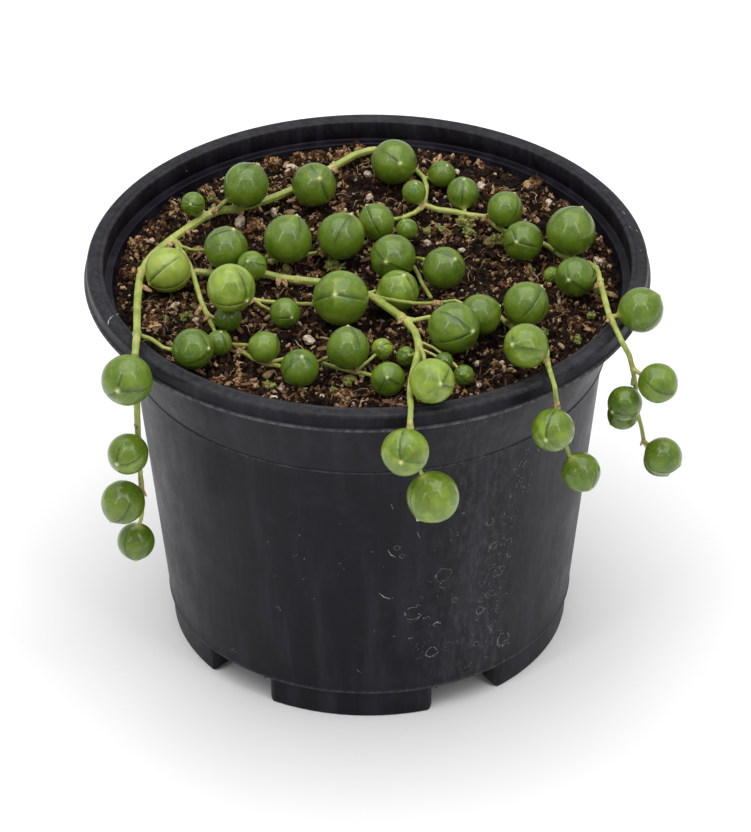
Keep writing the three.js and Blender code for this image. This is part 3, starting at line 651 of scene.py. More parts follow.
def make_pot():
    outline = foot_outline() + wall_outline() + rim_outline() + inside_outline()
    returns, notches, corners, drains = [], [], [], []
    front = -FOOT_RADIUS - 1
    for angle in NOTCH_ANGLES:
        notches.append(prism(notch_outline(), front, front + RETURN_LENGTH + 5, angle, lying=True))
        hole = list(arc((0, -DRAIN_CIRCLE_RADIUS), DRAIN_RADIUS, 0, 350, 35))
        drains.append(prism(hole, FOOT_HEIGHT - 1, FLOOR_TOP + 1, angle))
        for side in (-1, 1):
            returns.append(prism(return_outline(side), 0.0, FOOT_HEIGHT + 0.5, angle))
            corners.append(prism(corner_outline(side), -1.0, FOOT_HEIGHT - 0.12, angle))
    steps, tools = [], []
    for operation, parts in (
            ("UNION", returns), ("DIFFERENCE", notches), ("DIFFERENCE", corners), ("DIFFERENCE", drains)):
        tool = loose_object(*merged(parts)[:2])
        tools.append(tool)
        steps.append(("BOOLEAN", {"object": tool, "operation": operation, "solver": "EXACT"}))
    steps.append(("WELD", {"merge_threshold": 0.01}))
    mesh = shaped(loose_object(*turned(outline, POT_SIDES)), steps)
    for tool in tools:
        bpy.data.objects.remove(tool)
    vertices, faces = arrays(mesh)
    ways = np.degrees(np.arctan2(vertices[:, 0], -vertices[:, 1]))
    heights = vertices[:, 2]
    dust = hump(ways, DUST_ANGLE, DUST_SPREAD) * (heights < COLLAR_HEIGHT)
    outside = np.hypot(vertices[:, 0], vertices[:, 1]) > RIM_RADIUS - 0.45
    # Painted highlights: pale lines along the foot's edge, the step line and the skirt's lower edge, and a
    # faint paleness over the rim's top.
    wear_and_edge_highlight = FOOT_HIGHLIGHT * hump(heights, FOOT_HEIGHT + 0.3, 0.25)
    wear_and_edge_highlight += STEP_HIGHLIGHT * hump(heights, STEP_HEIGHT + 0.15, 0.2)
    wear_and_edge_highlight += SKIRT_HIGHLIGHT * hump(heights, RIM_BOTTOM + 0.3, 0.17) * outside
    wear_and_edge_highlight += RIM_TOP_HIGHLIGHT * (heights > POT_HEIGHT - 0.8)
    body = mesh_of("pot_body", vertices, faces, {"dust": dust, "wear_and_edge_highlight": wear_and_edge_highlight})
    body.set_sharp_from_angle(angle=math.radians(30))
    add_piece(body, "pot", pot_look(), "pot")


# ---------------------------------------------------------------- soil

SOIL_RADIUS = COLLAR_RADIUS - WALL - 0.35
SOIL_GAP = 0.3  # between the soil and the wall, under the soil's edge
SOIL_EDGE_WIDTH = 2.6
SOIL_EDGE_DROP = 1.3
SOIL_MEAN = SOIL_TOP - 0.75
SOIL_RINGS = 160
SOIL_SPOKES = 720


def clump(x, y):
    """Where the soil is heaped in dry, crumbly clumps, from 0 to 1."""
    value = noise.fractal(Vector((x / 5.2, y / 5.2, 3.1)), 1.0, 2.0, 3)
    return min(1.0, max(0.0, 0.5 + 0.9 * value))


def domes(x, y, size):
    """Close-packed domes about size millimetres apart: 1 on their tops and 0 between them."""
    distances, _ = noise.voronoi(Vector((x / size, y / size, size)))
    return max(0.0, 1 - (distances[0] / 0.8) ** 2)


def soil_height(x, y):
    """The height of the crumbly bed under the loose crumbs."""
    edge = max(0.0, math.hypot(x, y) - SOIL_RADIUS + SOIL_EDGE_WIDTH) / SOIL_EDGE_WIDTH
    heap = 1.6 * (clump(x, y) - 0.55)
    bent = 0.5 * noise.noise(Vector((x / 1.3, y / 1.3, 5.3)))
    lumps = 0.95 * (domes(x + bent, y - bent, 1.9) - 0.4) + 0.45 * (domes(x - bent, y + bent, 0.85) - 0.4)
    return SOIL_MEAN + heap + lumps - SOIL_EDGE_DROP * edge


def make_soil():
    angles = np.linspace(0, 2 * math.pi, SOIL_SPOKES, endpoint=False)
    radii = np.linspace(SOIL_RADIUS, SOIL_RADIUS / SOIL_RINGS, SOIL_RINGS)
    floor_radius = FOOT_RADIUS + FOOT_STEP - WALL - SOIL_GAP
    vertices = [(0, 0, SOIL_BOTTOM)]
    for radius, height in ((floor_radius, SOIL_BOTTOM), (STEP_RADIUS - WALL - SOIL_GAP, STEP_HEIGHT)):
        vertices += [(radius * math.cos(a), radius * math.sin(a), height) for a in angles]
    for radius in radii:
        for angle in angles:
            x, y = radius * math.cos(angle), radius * math.sin(angle)
            vertices.append((x, y, soil_height(x, y)))
    vertices.append((0, 0, soil_height(0, 0)))
    faces = shell_faces(SOIL_RINGS + 2, SOIL_SPOKES, 0, 1, len(vertices) - 1)
    # Painted shade: the bed is darker in the hollows between the small domes and lighter on their tops, and
    # dark all over, so the gaps between the crumbs read as shade. The dry heaped clumps are lighter.
    tones = [0.32 * clump(x, y) + 0.30 * domes(x, y, 0.85) - 0.20 for x, y, _ in vertices]
    add_piece(mesh_of("soil_bed", vertices, faces, {"tone": tones}), "soil", soil_look("soil_peat"), "soil")


def pebble_shapes(count, seed, divisions, roughness):
    """Irregular lumps about one unit in radius, which share their faces."""
    blank = bmesh.new()
    bmesh.ops.create_icosphere(blank, subdivisions=divisions, radius=1)
    base = np.array([v.co[:] for v in blank.verts])
    faces = np.array([[v.index for v in face.verts] for face in blank.faces])
    blank.free()
    shapes = []
    for k in range(count):
        offset = Vector((seed * 7.3 + k * 3.7, k * 1.9, seed))
        swell = [1 + roughness * noise.fractal(Vector(p) * 1.3 + offset, 1.0, 2.1, 3) for p in base]
        shapes.append(base * np.array(swell)[:, None])
    return shapes, faces


def scattered(name, lumps, shapes, faces, rng, slimness=(0.45, 0.95)):
    """One mesh of many lumps, each given as its centre, radius and tone."""
    all_vertices, all_faces, tones = [], [], []
    size = len(shapes[0])
    for k, (center, radius, tone) in enumerate(lumps):
        scale = (rng.uniform(0.9, 1.5), rng.uniform(0.6, 1.0), rng.uniform(*slimness))
        turn = Quaternion([rng.gauss(0, 1) for _ in range(4)]).normalized()
        spread = np.array(turn.to_matrix()).T * radius
        all_vertices.append((rng.choice(shapes) * scale) @ spread + np.array(center))
        all_faces.append(faces + k * size)
        tones.append(tone)
    masks = {"tone": np.repeat(tones, size)}
    return mesh_of(name, np.vstack(all_vertices), np.vstack(all_faces).tolist(), masks, smooth=False)


def spot_on_soil(rng, margin):
    reach = (SOIL_RADIUS - margin) * math.sqrt(rng.random())
    angle = rng.uniform(0, 2 * math.pi)
    return reach * math.cos(angle), reach * math.sin(angle)


# How many of each are strewn on the soil, in a clod, or in a moss lump.
CRUMBS = 10500
BIG_CRUMBS = 560
CLOD_CRUMBS = 80
SMALL_GRAINS = 240
MOSS_TUFTS = 16
FIBRES = 620
CHIPS = 420


def crumb_tone(heaped, rng):
    return min(1.2, max(-0.2, 0.12 + 0.42 * heaped + rng.gauss(0, 0.40)))


def make_crumbs(look):
    rng = random.Random(11)
    crumbs = []
    while len(crumbs) < CRUMBS:
        radius = 0.17 + 0.40 * rng.random() ** 2
        x, y = spot_on_soil(rng, radius + 0.2)
        heaped = clump(x, y)
        if rng.random() < 0.55 + heaped:
            z = soil_height(x, y) + radius * rng.uniform(-0.1, 0.8) + 0.5 * heaped * rng.random()
            crumbs.append(((x, y, z), radius, crumb_tone(heaped, rng)))
    shapes, faces = pebble_shapes(16, 1, 2, 0.95)
    add_piece(scattered("soil_crumbs", crumbs, shapes, faces, rng), "soil", look)
    crumbs = []
    for _ in range(BIG_CRUMBS):
        radius = rng.uniform(0.5, 1.0)
        x, y = spot_on_soil(rng, radius + 0.4)
        z = soil_height(x, y) + 0.15 * radius
        crumbs.append(((x, y, z), radius, crumb_tone(clump(x, y), rng)))
    shapes, faces = pebble_shapes(12, 5, 3, 1.0)
    add_piece(scattered("soil_lumps", crumbs, shapes, faces, rng), "soil", look)


# Clods of dry soil, seen at these places: across and down in pixels, radius in millimetres.
CLODS = [
    (271, 157, 2.0), (297, 153, 1.8), (317, 151, 2.0), (242, 369, 2.1), (341, 154, 1.5), (357, 146, 1.3),
    (140, 238, 2.0), (160, 218, 1.7), (128, 268, 1.7), (205, 186, 1.3), (562, 196, 1.5), (588, 226, 1.5),
    (600, 258, 1.4), (255, 224, 1.2), (343, 388, 2.0), (318, 268, 1.3), (500, 270, 1.3), (215, 376, 1.4),
    (536, 178, 1.4), (480, 160, 1.3), (452, 300, 1.4), (150, 322, 1.4), (182, 300, 1.4), (575, 318, 1.4),
]


def outward(radius, shares, rise, rng):
    """A random way sideways or up from a lump's middle, as long as some share of its radius."""
    out = Vector((rng.gauss(0, 1), rng.gauss(0, 1), abs(rng.gauss(0, rise)))).normalized()
    return out * (radius * rng.uniform(*shares))


def make_clods(look):
    rng = random.Random(23)
    crumbs = []
    for across, down, radius in CLODS:
        spot = over(across, down, 0.6 * radius)
        base = soil_height(spot.x, spot.y)
        tone = rng.uniform(0.5, 0.75)
        for _ in range(CLOD_CRUMBS):
            out = outward(radius, (0.35, 1.0), 1, rng)
            center = (spot.x + out.x, spot.y + out.y, base + 0.8 * out.z)
            if math.hypot(center[0], center[1]) < SOIL_RADIUS - 0.4:
                crumbs.append((center, rng.uniform(0.25, 0.6), tone + rng.gauss(0, 0.2)))
    shapes, faces = pebble_shapes(12, 2, 2, 1.0)
    add_piece(scattered("soil_clods", crumbs, shapes, faces, rng), "soil", look)


# Perlite grains seen at these places: across and down in pixels, radius in millimetres, and tone
# from 0, grey, to 1, white.
PERLITE = [
    (292, 164, 1.15, 0.8), (289, 168, 0.8, 0.7), (334, 160, 0.7, 0.6), (369, 196, 0.8, 1.0),
    (368, 175, 1.0, 0.6), (274, 208, 1.1, 0.8), (240, 219, 1.4, 0.3), (311, 213, 0.7, 0.8),
    (436, 159, 0.6, 1.0), (423, 166, 0.7, 0.8), (457, 168, 0.7, 0.8), (482, 184, 1.3, 0.9),
    (517, 166, 0.6, 1.0), (428, 242, 0.8, 0.8), (495, 171, 0.5, 0.8), (549, 204, 0.8, 0.7),
    (461, 245, 0.8, 0.7), (598, 261, 0.9, 0.8), (309, 338, 1.5, 0.9), (175, 305, 0.8, 0.7),
    (281, 384, 0.9, 0.8), (152, 240, 0.6, 0.6), (274, 397, 0.6, 1.0), (196, 322, 0.7, 0.5),
    (361, 372, 0.8, 0.6), (477, 362, 0.7, 1.0), (479, 386, 0.7, 1.0), (322, 394, 0.6, 0.9),
    (214, 205, 0.5, 1.0), (398, 178, 0.5, 0.8), (262, 335, 0.5, 0.7), (345, 208, 0.6, 0.7),
    (448, 178, 0.5, 0.9), (560, 300, 0.6, 0.7), (502, 360, 0.6, 0.6), (300, 320, 0.5, 0.6),
]


def make_perlite():
    rng = random.Random(37)
    grains = []
    for across, down, radius, tone in PERLITE:
        spot = over(across, down, 0.4)
        z = soil_height(spot.x, spot.y) + 0.45 * radius + 0.2
        grains.append(((spot.x, spot.y, z), radius * 0.85, tone))
    for _ in range(SMALL_GRAINS):
        radius = rng.uniform(0.12, 0.40)
        x, y = spot_on_soil(rng, 1.0)
        grains.append(((x, y, soil_height(x, y) + 0.8 * radius), radius, rng.uniform(0.2, 1.0)))
    shapes, faces = pebble_shapes(8, 3, 3, 0.38)
    mesh = scattered("perlite", grains, shapes, faces, rng, (0.75, 1.0))
    add_piece(mesh, "soil", perlite_look())


# Moss lumps and green shreds: across and down in pixels, radius in millimetres.
MOSS = [
    (212, 197, 0.9), (333, 265, 1.5), (287, 271, 1.0), (427, 225, 0.9), (443, 230, 1.1), (467, 223, 1.7),
    (469, 232, 1.2), (491, 241, 1.4), (500, 236, 1.1), (187, 317, 1.3), (193, 304, 0.9), (166, 315, 0.8),
    (349, 380, 1.1), (334, 389, 0.9), (269, 384, 1.0), (578, 337, 0.9), (592, 312, 0.8), (545, 330, 0.7),
    (598, 289, 1.0), (280, 213, 0.6), (360, 366, 0.7), (418, 398, 0.6), (190, 262, 0.7), (530, 268, 0.8),
]


def make_moss():
    rng = random.Random(41)
    tufts = []
    for across, down, radius in MOSS:
        spot = over(across, down, 0.4)
        base = soil_height(spot.x, spot.y) + 0.3 * radius
        for _ in range(MOSS_TUFTS):
            out = outward(radius, (0.1, 0.8), 0.7, rng)
            center = (spot.x + out.x, spot.y + out.y, base + out.z)
            tufts.append((center, radius * rng.uniform(0.3, 0.6), 0.5))
    shapes, faces = pebble_shapes(9, 4, 3, 1.0)
    mesh = scattered("moss", tufts, shapes, faces, rng, (0.4, 0.9))
    add_piece(mesh, "soil", moss_look())


def strand_parts(path, radii, sides=5):
    """Vertices and faces of one thin closed tube."""
    vertices = []
    side = Vector((0, 0, 1))
    last = len(path) - 1
    for i, (point, radius) in enumerate(zip(path, radii)):
        along = (path[min(i + 1, last)] - path[max(i - 1, 0)]).normalized()
        side = (side - along * side.dot(along)).normalized()
        other = along.cross(side)
        for k in range(sides):
            angle = 2 * math.pi * k / sides
            vertices.append(point + (side * math.cos(angle) + other * math.sin(angle)) * radius)
    faces = tube_faces(len(path), sides)
    faces.append(tuple(reversed(range(sides))))
    faces.append(tuple(range(last * sides, (last + 1) * sides)))
    return vertices, faces


def make_fibres(look):
    rng = random.Random(53)
    parts = []
    steps = 8
    for _ in range(FIBRES):
        x, y = spot_on_soil(rng, 4.5)
        heading, length = rng.uniform(0, 2 * math.pi), rng.uniform(0.9, 5.0)
        radius, lift = rng.uniform(0.05, 0.13), rng.uniform(0.1, 0.7)
        path = []
        for i in range(steps + 1):
            heading += rng.gauss(0, 0.25)
            x += math.cos(heading) * length / steps
            y += math.sin(heading) * length / steps
            z = soil_height(x, y) + 0.35 + lift * math.sin(math.pi * i / steps)
            path.append(Vector((x, y, z)))
        radii = [radius * (1 - 0.6 * abs(2 * i / steps - 1)) for i in range(steps + 1)]
        parts.append(strand_parts(path, radii))
    add_piece(joined("soil_fibres", parts, [rng.random() for _ in parts]), "soil", look)


def chip(center, size, rng):
    """A splinter of bark: a flat, tapering, uneven slab."""
    length, width, thickness = size
    turn = Matrix.Rotation(rng.uniform(0, 2 * math.pi), 3, "Z")
    turn = turn @ Matrix.Rotation(rng.gauss(0, 0.35), 3, "X") @ Matrix.Rotation(rng.gauss(0, 0.25), 3, "Y")
    steps = 6
    vertices = []
    for i in range(steps + 1):
        share = i / steps
        taper = 0.35 + 0.65 * math.sin(math.pi * (0.12 + 0.76 * share))
        bend = 0.04 * length * math.sin(math.pi * share)
        for y, z in ((-0.5, -0.5), (0.5, -0.5), (0.5, 0.5), (-0.5, 0.5)):
            offset = Vector((
                (share - 0.5) * length + rng.gauss(0, 0.05) * width,
                y * width * taper + rng.gauss(0, 0.07) * width,
                z * thickness + bend + rng.gauss(0, 0.15) * thickness))
            vertices.append(turn @ offset + Vector(center))
    faces = inside_out(tube_faces(steps + 1, 4))
    faces += [(0, 1, 2, 3), tuple(steps * 4 + k for k in (3, 2, 1, 0))]
    return vertices, faces


def make_bark(look):
    rng = random.Random(67)
    parts = []
    for _ in range(CHIPS):
        size = (rng.uniform(0.8, 2.8), rng.uniform(0.3, 0.9), rng.uniform(0.15, 0.4))
        x, y = spot_on_soil(rng, 2.4)
        parts.append(chip((x, y, soil_height(x, y) + 0.35), size, rng))
    mesh = joined("bark_chips", parts, [0.7 * rng.random() for _ in parts])
    mesh.set_sharp_from_angle(angle=math.radians(40))
    add_piece(mesh, "soil", look)


# ---------------------------------------------------------------- pearls

PEARL_TONES = {  # how light each pearl is: near 0 it's deep green, and near 1 it's yellow-green
    "a1": 0.40, "a2": 0.45, "a3": 0.50, "a4": 0.45, "a5": 1.15, "a6": 0.30, "a7": 0.40, "a8": 0.40,
    "a9": 0.55, "a10": 0.55, "a11": 0.45, "a12": 0.40, "b1": 0.60, "b2": 0.65, "b3": 0.45, "b4": 0.50,
    "b5": 0.90, "b6": 0.75, "b7": 0.70, "c1": 0.95, "c2": 0.45, "c3": 0.60, "d1": 0.55, "d2": 0.35,
    "d3": 0.45, "d4": 0.45, "e1": 0.45, "e2": 0.40, "e3": 0.50, "e4": 0.50, "e5": 0.55, "e6": 0.40,
    "e7": 0.45, "e8": 0.40, "e9": 0.50, "e10": 0.35, "e11": 0.45, "e12": 0.50, "e13": 0.30, "e14": 0.25,
    "e15": 0.40, "e16": 0.45, "f1": 0.40, "f2": 0.40, "g1": 0.55, "g2": 0.70, "g3": 0.60, "g4": 0.50,
    "h1": 0.50, "h2": 0.50,
}
# A pearl is made of rings round its tip. Heights and depths on it are in pearl radii, widths and
# reaches on it are in radians, and its neck is in millimetres.
PEARL_COLUMNS = 40
PEARL_STEPS = 40
STEP_BIAS = 1.2  # above 1, so that the rings lie closer near the tip
CLOSEST_COLUMNS = 0.004
PEARL_FIT = 0.978  # keeps the swellings inside the CAD pearl's box
DENT_DEPTH = 0.022
FOLD_OFFSETS = (-0.075, -0.04, -0.018, 0.0, 0.02, 0.045, 0.08, 0.13, 0.2, 0.3)  # extra columns
FOLD_DEPTH = 0.024
FOLD_EDGE = 0.024  # the width of a fold's steep side
FOLD_FADE = 0.18  # the width of its gentle side
FOLD_START = 0.10  # how far from the tip it has its whole depth
FOLD_RUNOUT = 0.35  # how far it fades over past its end
FOLD_SIDES = 1.4  # how far round the tip it acts to each side
WINDOW_WIDTH = 0.16  # the dark stripe along a fold: the leaf's translucent window, with painted shade in the fold
TIP_HEIGHT = 0.085
TIP_WIDTH = 0.085
SHOULDER_RISE = 0.030  # the broad rise towards the tip
SHOULDER_WIDTH = 0.4
RIB_RATE = 1.3  # how fast the soft ribs follow each other round the tip
RIB_HEIGHT = 0.016
RIB_HIGHLIGHT = 0.28  # how much lighter a rib is: a painted highlight along its ridge
NECK_HEIGHT = 0.45
NECK_WIDTH = 0.5
NECK_FOOT_HEIGHT = 0.16
NECK_FOOT_WIDTH = 1.3
NECK_TONE_WIDTH = 0.9


def fitted_ball(points):
    """Centre and radius of the sphere that fits the points best."""
    rows = np.hstack([2 * points, np.ones((len(points), 1))])
    answer = np.linalg.lstsq(rows, (points ** 2).sum(axis=1), rcond=None)[0]
    center = answer[:3]
    return center, math.sqrt(answer[3] + center @ center)


def pearl_shape(name):
    """Centre, radius and tip direction of a CAD pearl."""
    points, _ = node_shape(name)
    center, _ = fitted_ball(points)
    tip = int(np.argmax(np.linalg.norm(points - center, axis=1)))
    center, radius = fitted_ball(np.delete(points, tip, axis=0))
    return Vector(center), radius, Vector(points[tip] - center).normalized()


def stalk_direction(center, radius, stem_points):
    """The way from a pearl's middle to the end of its stalk."""
    away = np.linalg.norm(stem_points - np.array(center), axis=1)
    close = stem_points[away < max(away.min() + 0.15, radius + 0.42)]
    return (Vector(close.mean(axis=0)) - center).normalized()


# Folds that show on the pearls, from the tip to these places in the view, in pixels.
FOLD_ENDS = {
    "a5": [(188, 277), (180, 257)],
    "a9": [(104, 395), (150, 388), (122, 377)],
    "b3": [(440, 311), (437, 343)],
    "b4": [(492, 333)],
    "b5": [(454, 387), (449, 370)],
    "c1": [(214, 303), (240, 272)],
    "c2": [(276, 319)],
    "c3": [(313, 303), (366, 301)],
    "d4": [(379, 392), (401, 385)],
    "e1": [(387, 153)],
    "e4": [(381, 236)],
    "e6": [(462, 205)],
    "e8": [(505, 247), (541, 248), (511, 229)],
    "e9": [(552, 222), (590, 222)],
    "f2": [(433, 252), (463, 272)],
    "g1": [(522, 318), (533, 325)],
    "g2": [(511, 334), (541, 350)],
    "h1": [(299, 235)],
    "h2": [(333, 245)],
}


def shown_folds(ends, center, radius, tip, rng):
    """Folds from a pearl's tip to places in the view, given as folds_of gives them."""
    side = tip.orthogonal().normalized()
    folds = []
    for end in ends:
        line = sight(*end).normalized()
        nearest = eye + line * (center - eye).dot(line)
        sink = math.sqrt(max(0.0, radius ** 2 - (nearest - center).length_squared))
        out = (nearest - line * sink - center).normalized()
        angle = math.atan2(out.dot(tip.cross(side)), out.dot(side))
        reach = out.angle(tip) + FOLD_RUNOUT
        folds.append((angle % (2 * math.pi), rng.choice((-1, 1)), 1.0, reach, 0.0))
    return sorted(folds)


def folds_of(tip, rng, count):
    """A pearl's folds: angle round the tip, side it fades to, strength, reach and curl."""
    side = tip.orthogonal().normalized()
    seen = -forward + tip * forward.dot(tip)
    facing = math.atan2(seen.dot(tip.cross(side)), seen.dot(side))
    hand = rng.choice((-1, 1))
    places = [hand * rng.uniform(0.4, 1.2), -hand * rng.uniform(0.9, 1.9), math.pi + rng.uniform(-0.5, 0.5)]
    places += [rng.uniform(-math.pi, math.pi) for _ in range(count - 3)]
    strengths = [1.0, 0.75, 0.5] + [0.7] * (count - 3)
    reaches = [rng.uniform(1.5, 2.5), rng.uniform(0.9, 1.6), rng.uniform(0.8, 1.3)]
    reaches += [rng.uniform(0.8, 1.6) for _ in range(count - 3)]
    folds = []
    for place, strength, reach in zip(places, strengths, reaches):
        angle = (facing + place) % (2 * math.pi)
        folds.append((angle, rng.choice((-1, 1)), strength, reach, rng.uniform(-0.3, 0.3)))
    return sorted(folds)


def leaf_mesh(name, center, radius, tip, stalk, tone, fold_ends=(), fold_count=3, wrinkle=0.0):
    """A round leaf: a pointed tip, folds that run from it, and a neck towards its stalk."""
    rng = random.Random(name)
    if fold_ends:
        folds = shown_folds(fold_ends, center, radius, tip, rng)
    else:
        folds = folds_of(tip, rng, fold_count)
    offset = Vector([rng.uniform(0, 50) for _ in range(3)])
    angles = [2 * math.pi * k / PEARL_COLUMNS for k in range(PEARL_COLUMNS)]
    for angle, hand, *_ in folds:
        angles += [(angle + hand * o) % (2 * math.pi) for o in FOLD_OFFSETS]
    angles = np.array(sorted(angles))
    angles = angles[np.append(np.diff(angles) > CLOSEST_COLUMNS, True)]
    polars = math.pi * (np.arange(1, PEARL_STEPS) / PEARL_STEPS) ** STEP_BIAS
    marks = np.array([fold[0] for fold in folds])
    curls = np.array([fold[4] for fold in folds])
    bend = np.interp(angles, marks, curls, period=2 * math.pi)
    polar, angle = np.meshgrid(polars, angles, indexing="ij")
    turn = angle + bend[None, :] * polar
    side = tip.orthogonal().normalized()
    other = tip.cross(side)
    directions = (np.multiply.outer(np.sin(polar) * np.cos(turn), np.array(side))
                  + np.multiply.outer(np.sin(polar) * np.sin(turn), np.array(other))
                  + np.multiply.outer(np.cos(polar), np.array(tip)))
    groove = np.zeros_like(polar)
    window_and_fold_shade = np.zeros_like(polar)
    for mark, hand, strength, reach, _ in folds:
        away = hand * ((angle - mark + math.pi) % (2 * math.pi) - math.pi)
        across = away * np.sin(polar)
        fade = np.clip((reach - polar) / (2 * FOLD_RUNOUT), 0, 1) * np.clip(polar / FOLD_START, 0, 1)
        fade *= strength * (np.abs(away) < FOLD_SIDES)
        edge = hump(across, 0, FOLD_EDGE)
        slope = np.where(across > 0, np.exp(-np.abs(across) / FOLD_FADE), edge)
        groove = np.maximum(groove, fade * slope)
        wide = np.maximum(WINDOW_WIDTH * (1.2 - polar / (reach + 0.3)), 0.01)
        window_and_fold_shade = np.maximum(window_and_fold_shade, fade * np.where(across > 0, hump(across, 0, wide), edge))
    rounds = [Vector((RIB_RATE * math.cos(a), RIB_RATE * math.sin(a), offset.x)) for a in angles]
    ribs = np.array([noise.fractal(place, 1.0, 2.0, 3) for place in rounds])[None, :]
    ribs = ribs * hump(polar, 0.45, 0.55)
    directions = np.vstack([[np.array(tip)], directions.reshape(-1, 3), [-np.array(tip)]])
    polar = np.concatenate([[0.0], polar.reshape(-1), [math.pi]])
    groove, window_and_fold_shade, ribs = (
        np.concatenate([[0.0], values.reshape(-1), [0.0]]) for values in (groove, window_and_fold_shade, ribs))
    spread = np.arccos(np.clip(directions @ np.array(stalk), -1, 1)) * radius
    dents = np.array([noise.noise(Vector(d) * 1.6 + offset) for d in directions]) * DENT_DEPTH
    if wrinkle:
        dents += wrinkle * np.array([noise.fractal(Vector(d) * 4 + offset, 1, 2, 3) for d in directions])
    size = PEARL_FIT + dents - FOLD_DEPTH * groove + TIP_HEIGHT * np.exp(-polar / TIP_WIDTH)
    size += SHOULDER_RISE * hump(polar, 0, SHOULDER_WIDTH) + RIB_HEIGHT * ribs
    reach = radius * size + NECK_HEIGHT * hump(spread, 0, NECK_WIDTH)
    reach += NECK_FOOT_HEIGHT * hump(spread, 0, NECK_FOOT_WIDTH)
    vertices = np.array(center) + directions * reach[:, None]
    masks = {
        "window_and_fold_shade": window_and_fold_shade,
        "tip": hump(polar, 0, TIP_WIDTH),
        "neck": hump(spread, 0, NECK_TONE_WIDTH),
        # the ribs' ridges are painted lighter, as a highlight
        "tone": tone + RIB_HIGHLIGHT * ribs,
    }
    faces = shell_faces(len(polars), len(angles), 0, 1, len(vertices) - 1)
    return mesh_of(name, vertices, inside_out(faces), masks)


def make_pearl(name, stem_points, look):
    center, radius, tip = pearl_shape(f"pearl_{name}")
    stalk = stalk_direction(center, radius, stem_points)
    ends = FOLD_ENDS.get(name, ())
    mesh = leaf_mesh(f"leaf_{name}", center, radius, tip, stalk, PEARL_TONES[name], ends)
    add_piece(mesh, "leaf", look, f"pearl_{name}")


# Small young leaves on the stems: across and down in pixels, height over the soil and radius in
# millimetres, and tone.
YOUNG_LEAVES = [
    (406, 356, 2.1, 1.7, 0.45), (464, 375, 2.2, 1.8, 0.40), (444, 361, 3.1, 1.6, 0.35),
    (382, 349, 2.3, 1.9, 0.95), (552, 275, 1.9, 1.5, 0.60),
]


def make_young_leaves(look):
    for i, (across, down, rise, radius, tone) in enumerate(YOUNG_LEAVES):
        tip = Vector((0.3 * (-1) ** i, -0.75, 0.6)).normalized()
        center = over(across, down, rise)
        down_to_soil = Vector((0, 0, -1))
        mesh = leaf_mesh(
            f"young_leaf_{i + 1}", center, 1.07 * radius, tip, down_to_soil, tone,
            fold_count=6, wrinkle=0.05)
        add_piece(mesh, "leaf", look)


# ---------------------------------------------------------------- stems

# These are in millimetres.
STEM_VOXEL = 0.13
SKIN_THICKNESS = 0.04
SKIN_UNEVENNESS = 0.05
JOINT_SWELL = 0.10
JOINT_REACH = 1.05
# Swollen joints on each strand, seen at these places, in pixels.
JOINTS = {
    "a": [(334, 167), (214, 212), (172, 240), (142, 271), (137, 334), (138, 443), (141, 488), (207, 314)],
    "b": [(297, 280), (370, 296), (401, 317), (419, 345), (410, 428)],
    "c": [(254, 300)],
    "d": [(237, 346), (266, 364), (355, 372)],
    "e": [(424, 205), (487, 217), (567, 258), (600, 281), (610, 317), (633, 369), (644, 442)],
    "f": [(410, 263)],
    "g": [(506, 323), (547, 360), (557, 405)],
    "h": [(272, 262), (318, 253)],
}


def seen_on(points, across, down):
    """The nearest to the eye of the points that lie close to a line of sight."""
    line = np.array(sight(across, down).normalized())
    offsets = points - np.array(eye)
    depths = offsets @ line
    away = np.linalg.norm(offsets - depths[:, None] * line, axis=1)
    close = away < away.min() + 0.35
    return points[close][np.argmin(depths[close])]


def make_stem(strand, look):
    """The CAD stem with a smooth skin. It is remade in millimetres, where voxels can be small."""
    mesh = shaped(loose_object(*node_shape(f"stem_{strand}")), [
        ("REMESH", {"mode": "VOXEL", "voxel_size": STEM_VOXEL}),
        ("SMOOTH", {"factor": 0.5, "iterations": 7}),
    ])
    skin, faces = arrays(mesh)
    joint = np.zeros(len(skin))
    for across, down in JOINTS[strand]:
        away = np.linalg.norm(skin - seen_on(skin, across, down), axis=1)
        joint = np.maximum(joint, hump(away, 0, JOINT_REACH))
    uneven = np.array([noise.fractal(Vector(p) * 1.1, 1.0, 2.0, 2) for p in skin])
    normals = np.array([v.normal[:] for v in mesh.vertices])
    swell = SKIN_THICKNESS + SKIN_UNEVENNESS * uneven + JOINT_SWELL * joint
    skin = skin + normals * swell[:, None]
    piece_mesh = mesh_of(f"stem_skin_{strand}", skin, faces, {"joint": joint})
    add_piece(piece_mesh, "stem", look, f"stem_{strand}")
    return skin


# ---------------------------------------------------------------- small dry parts

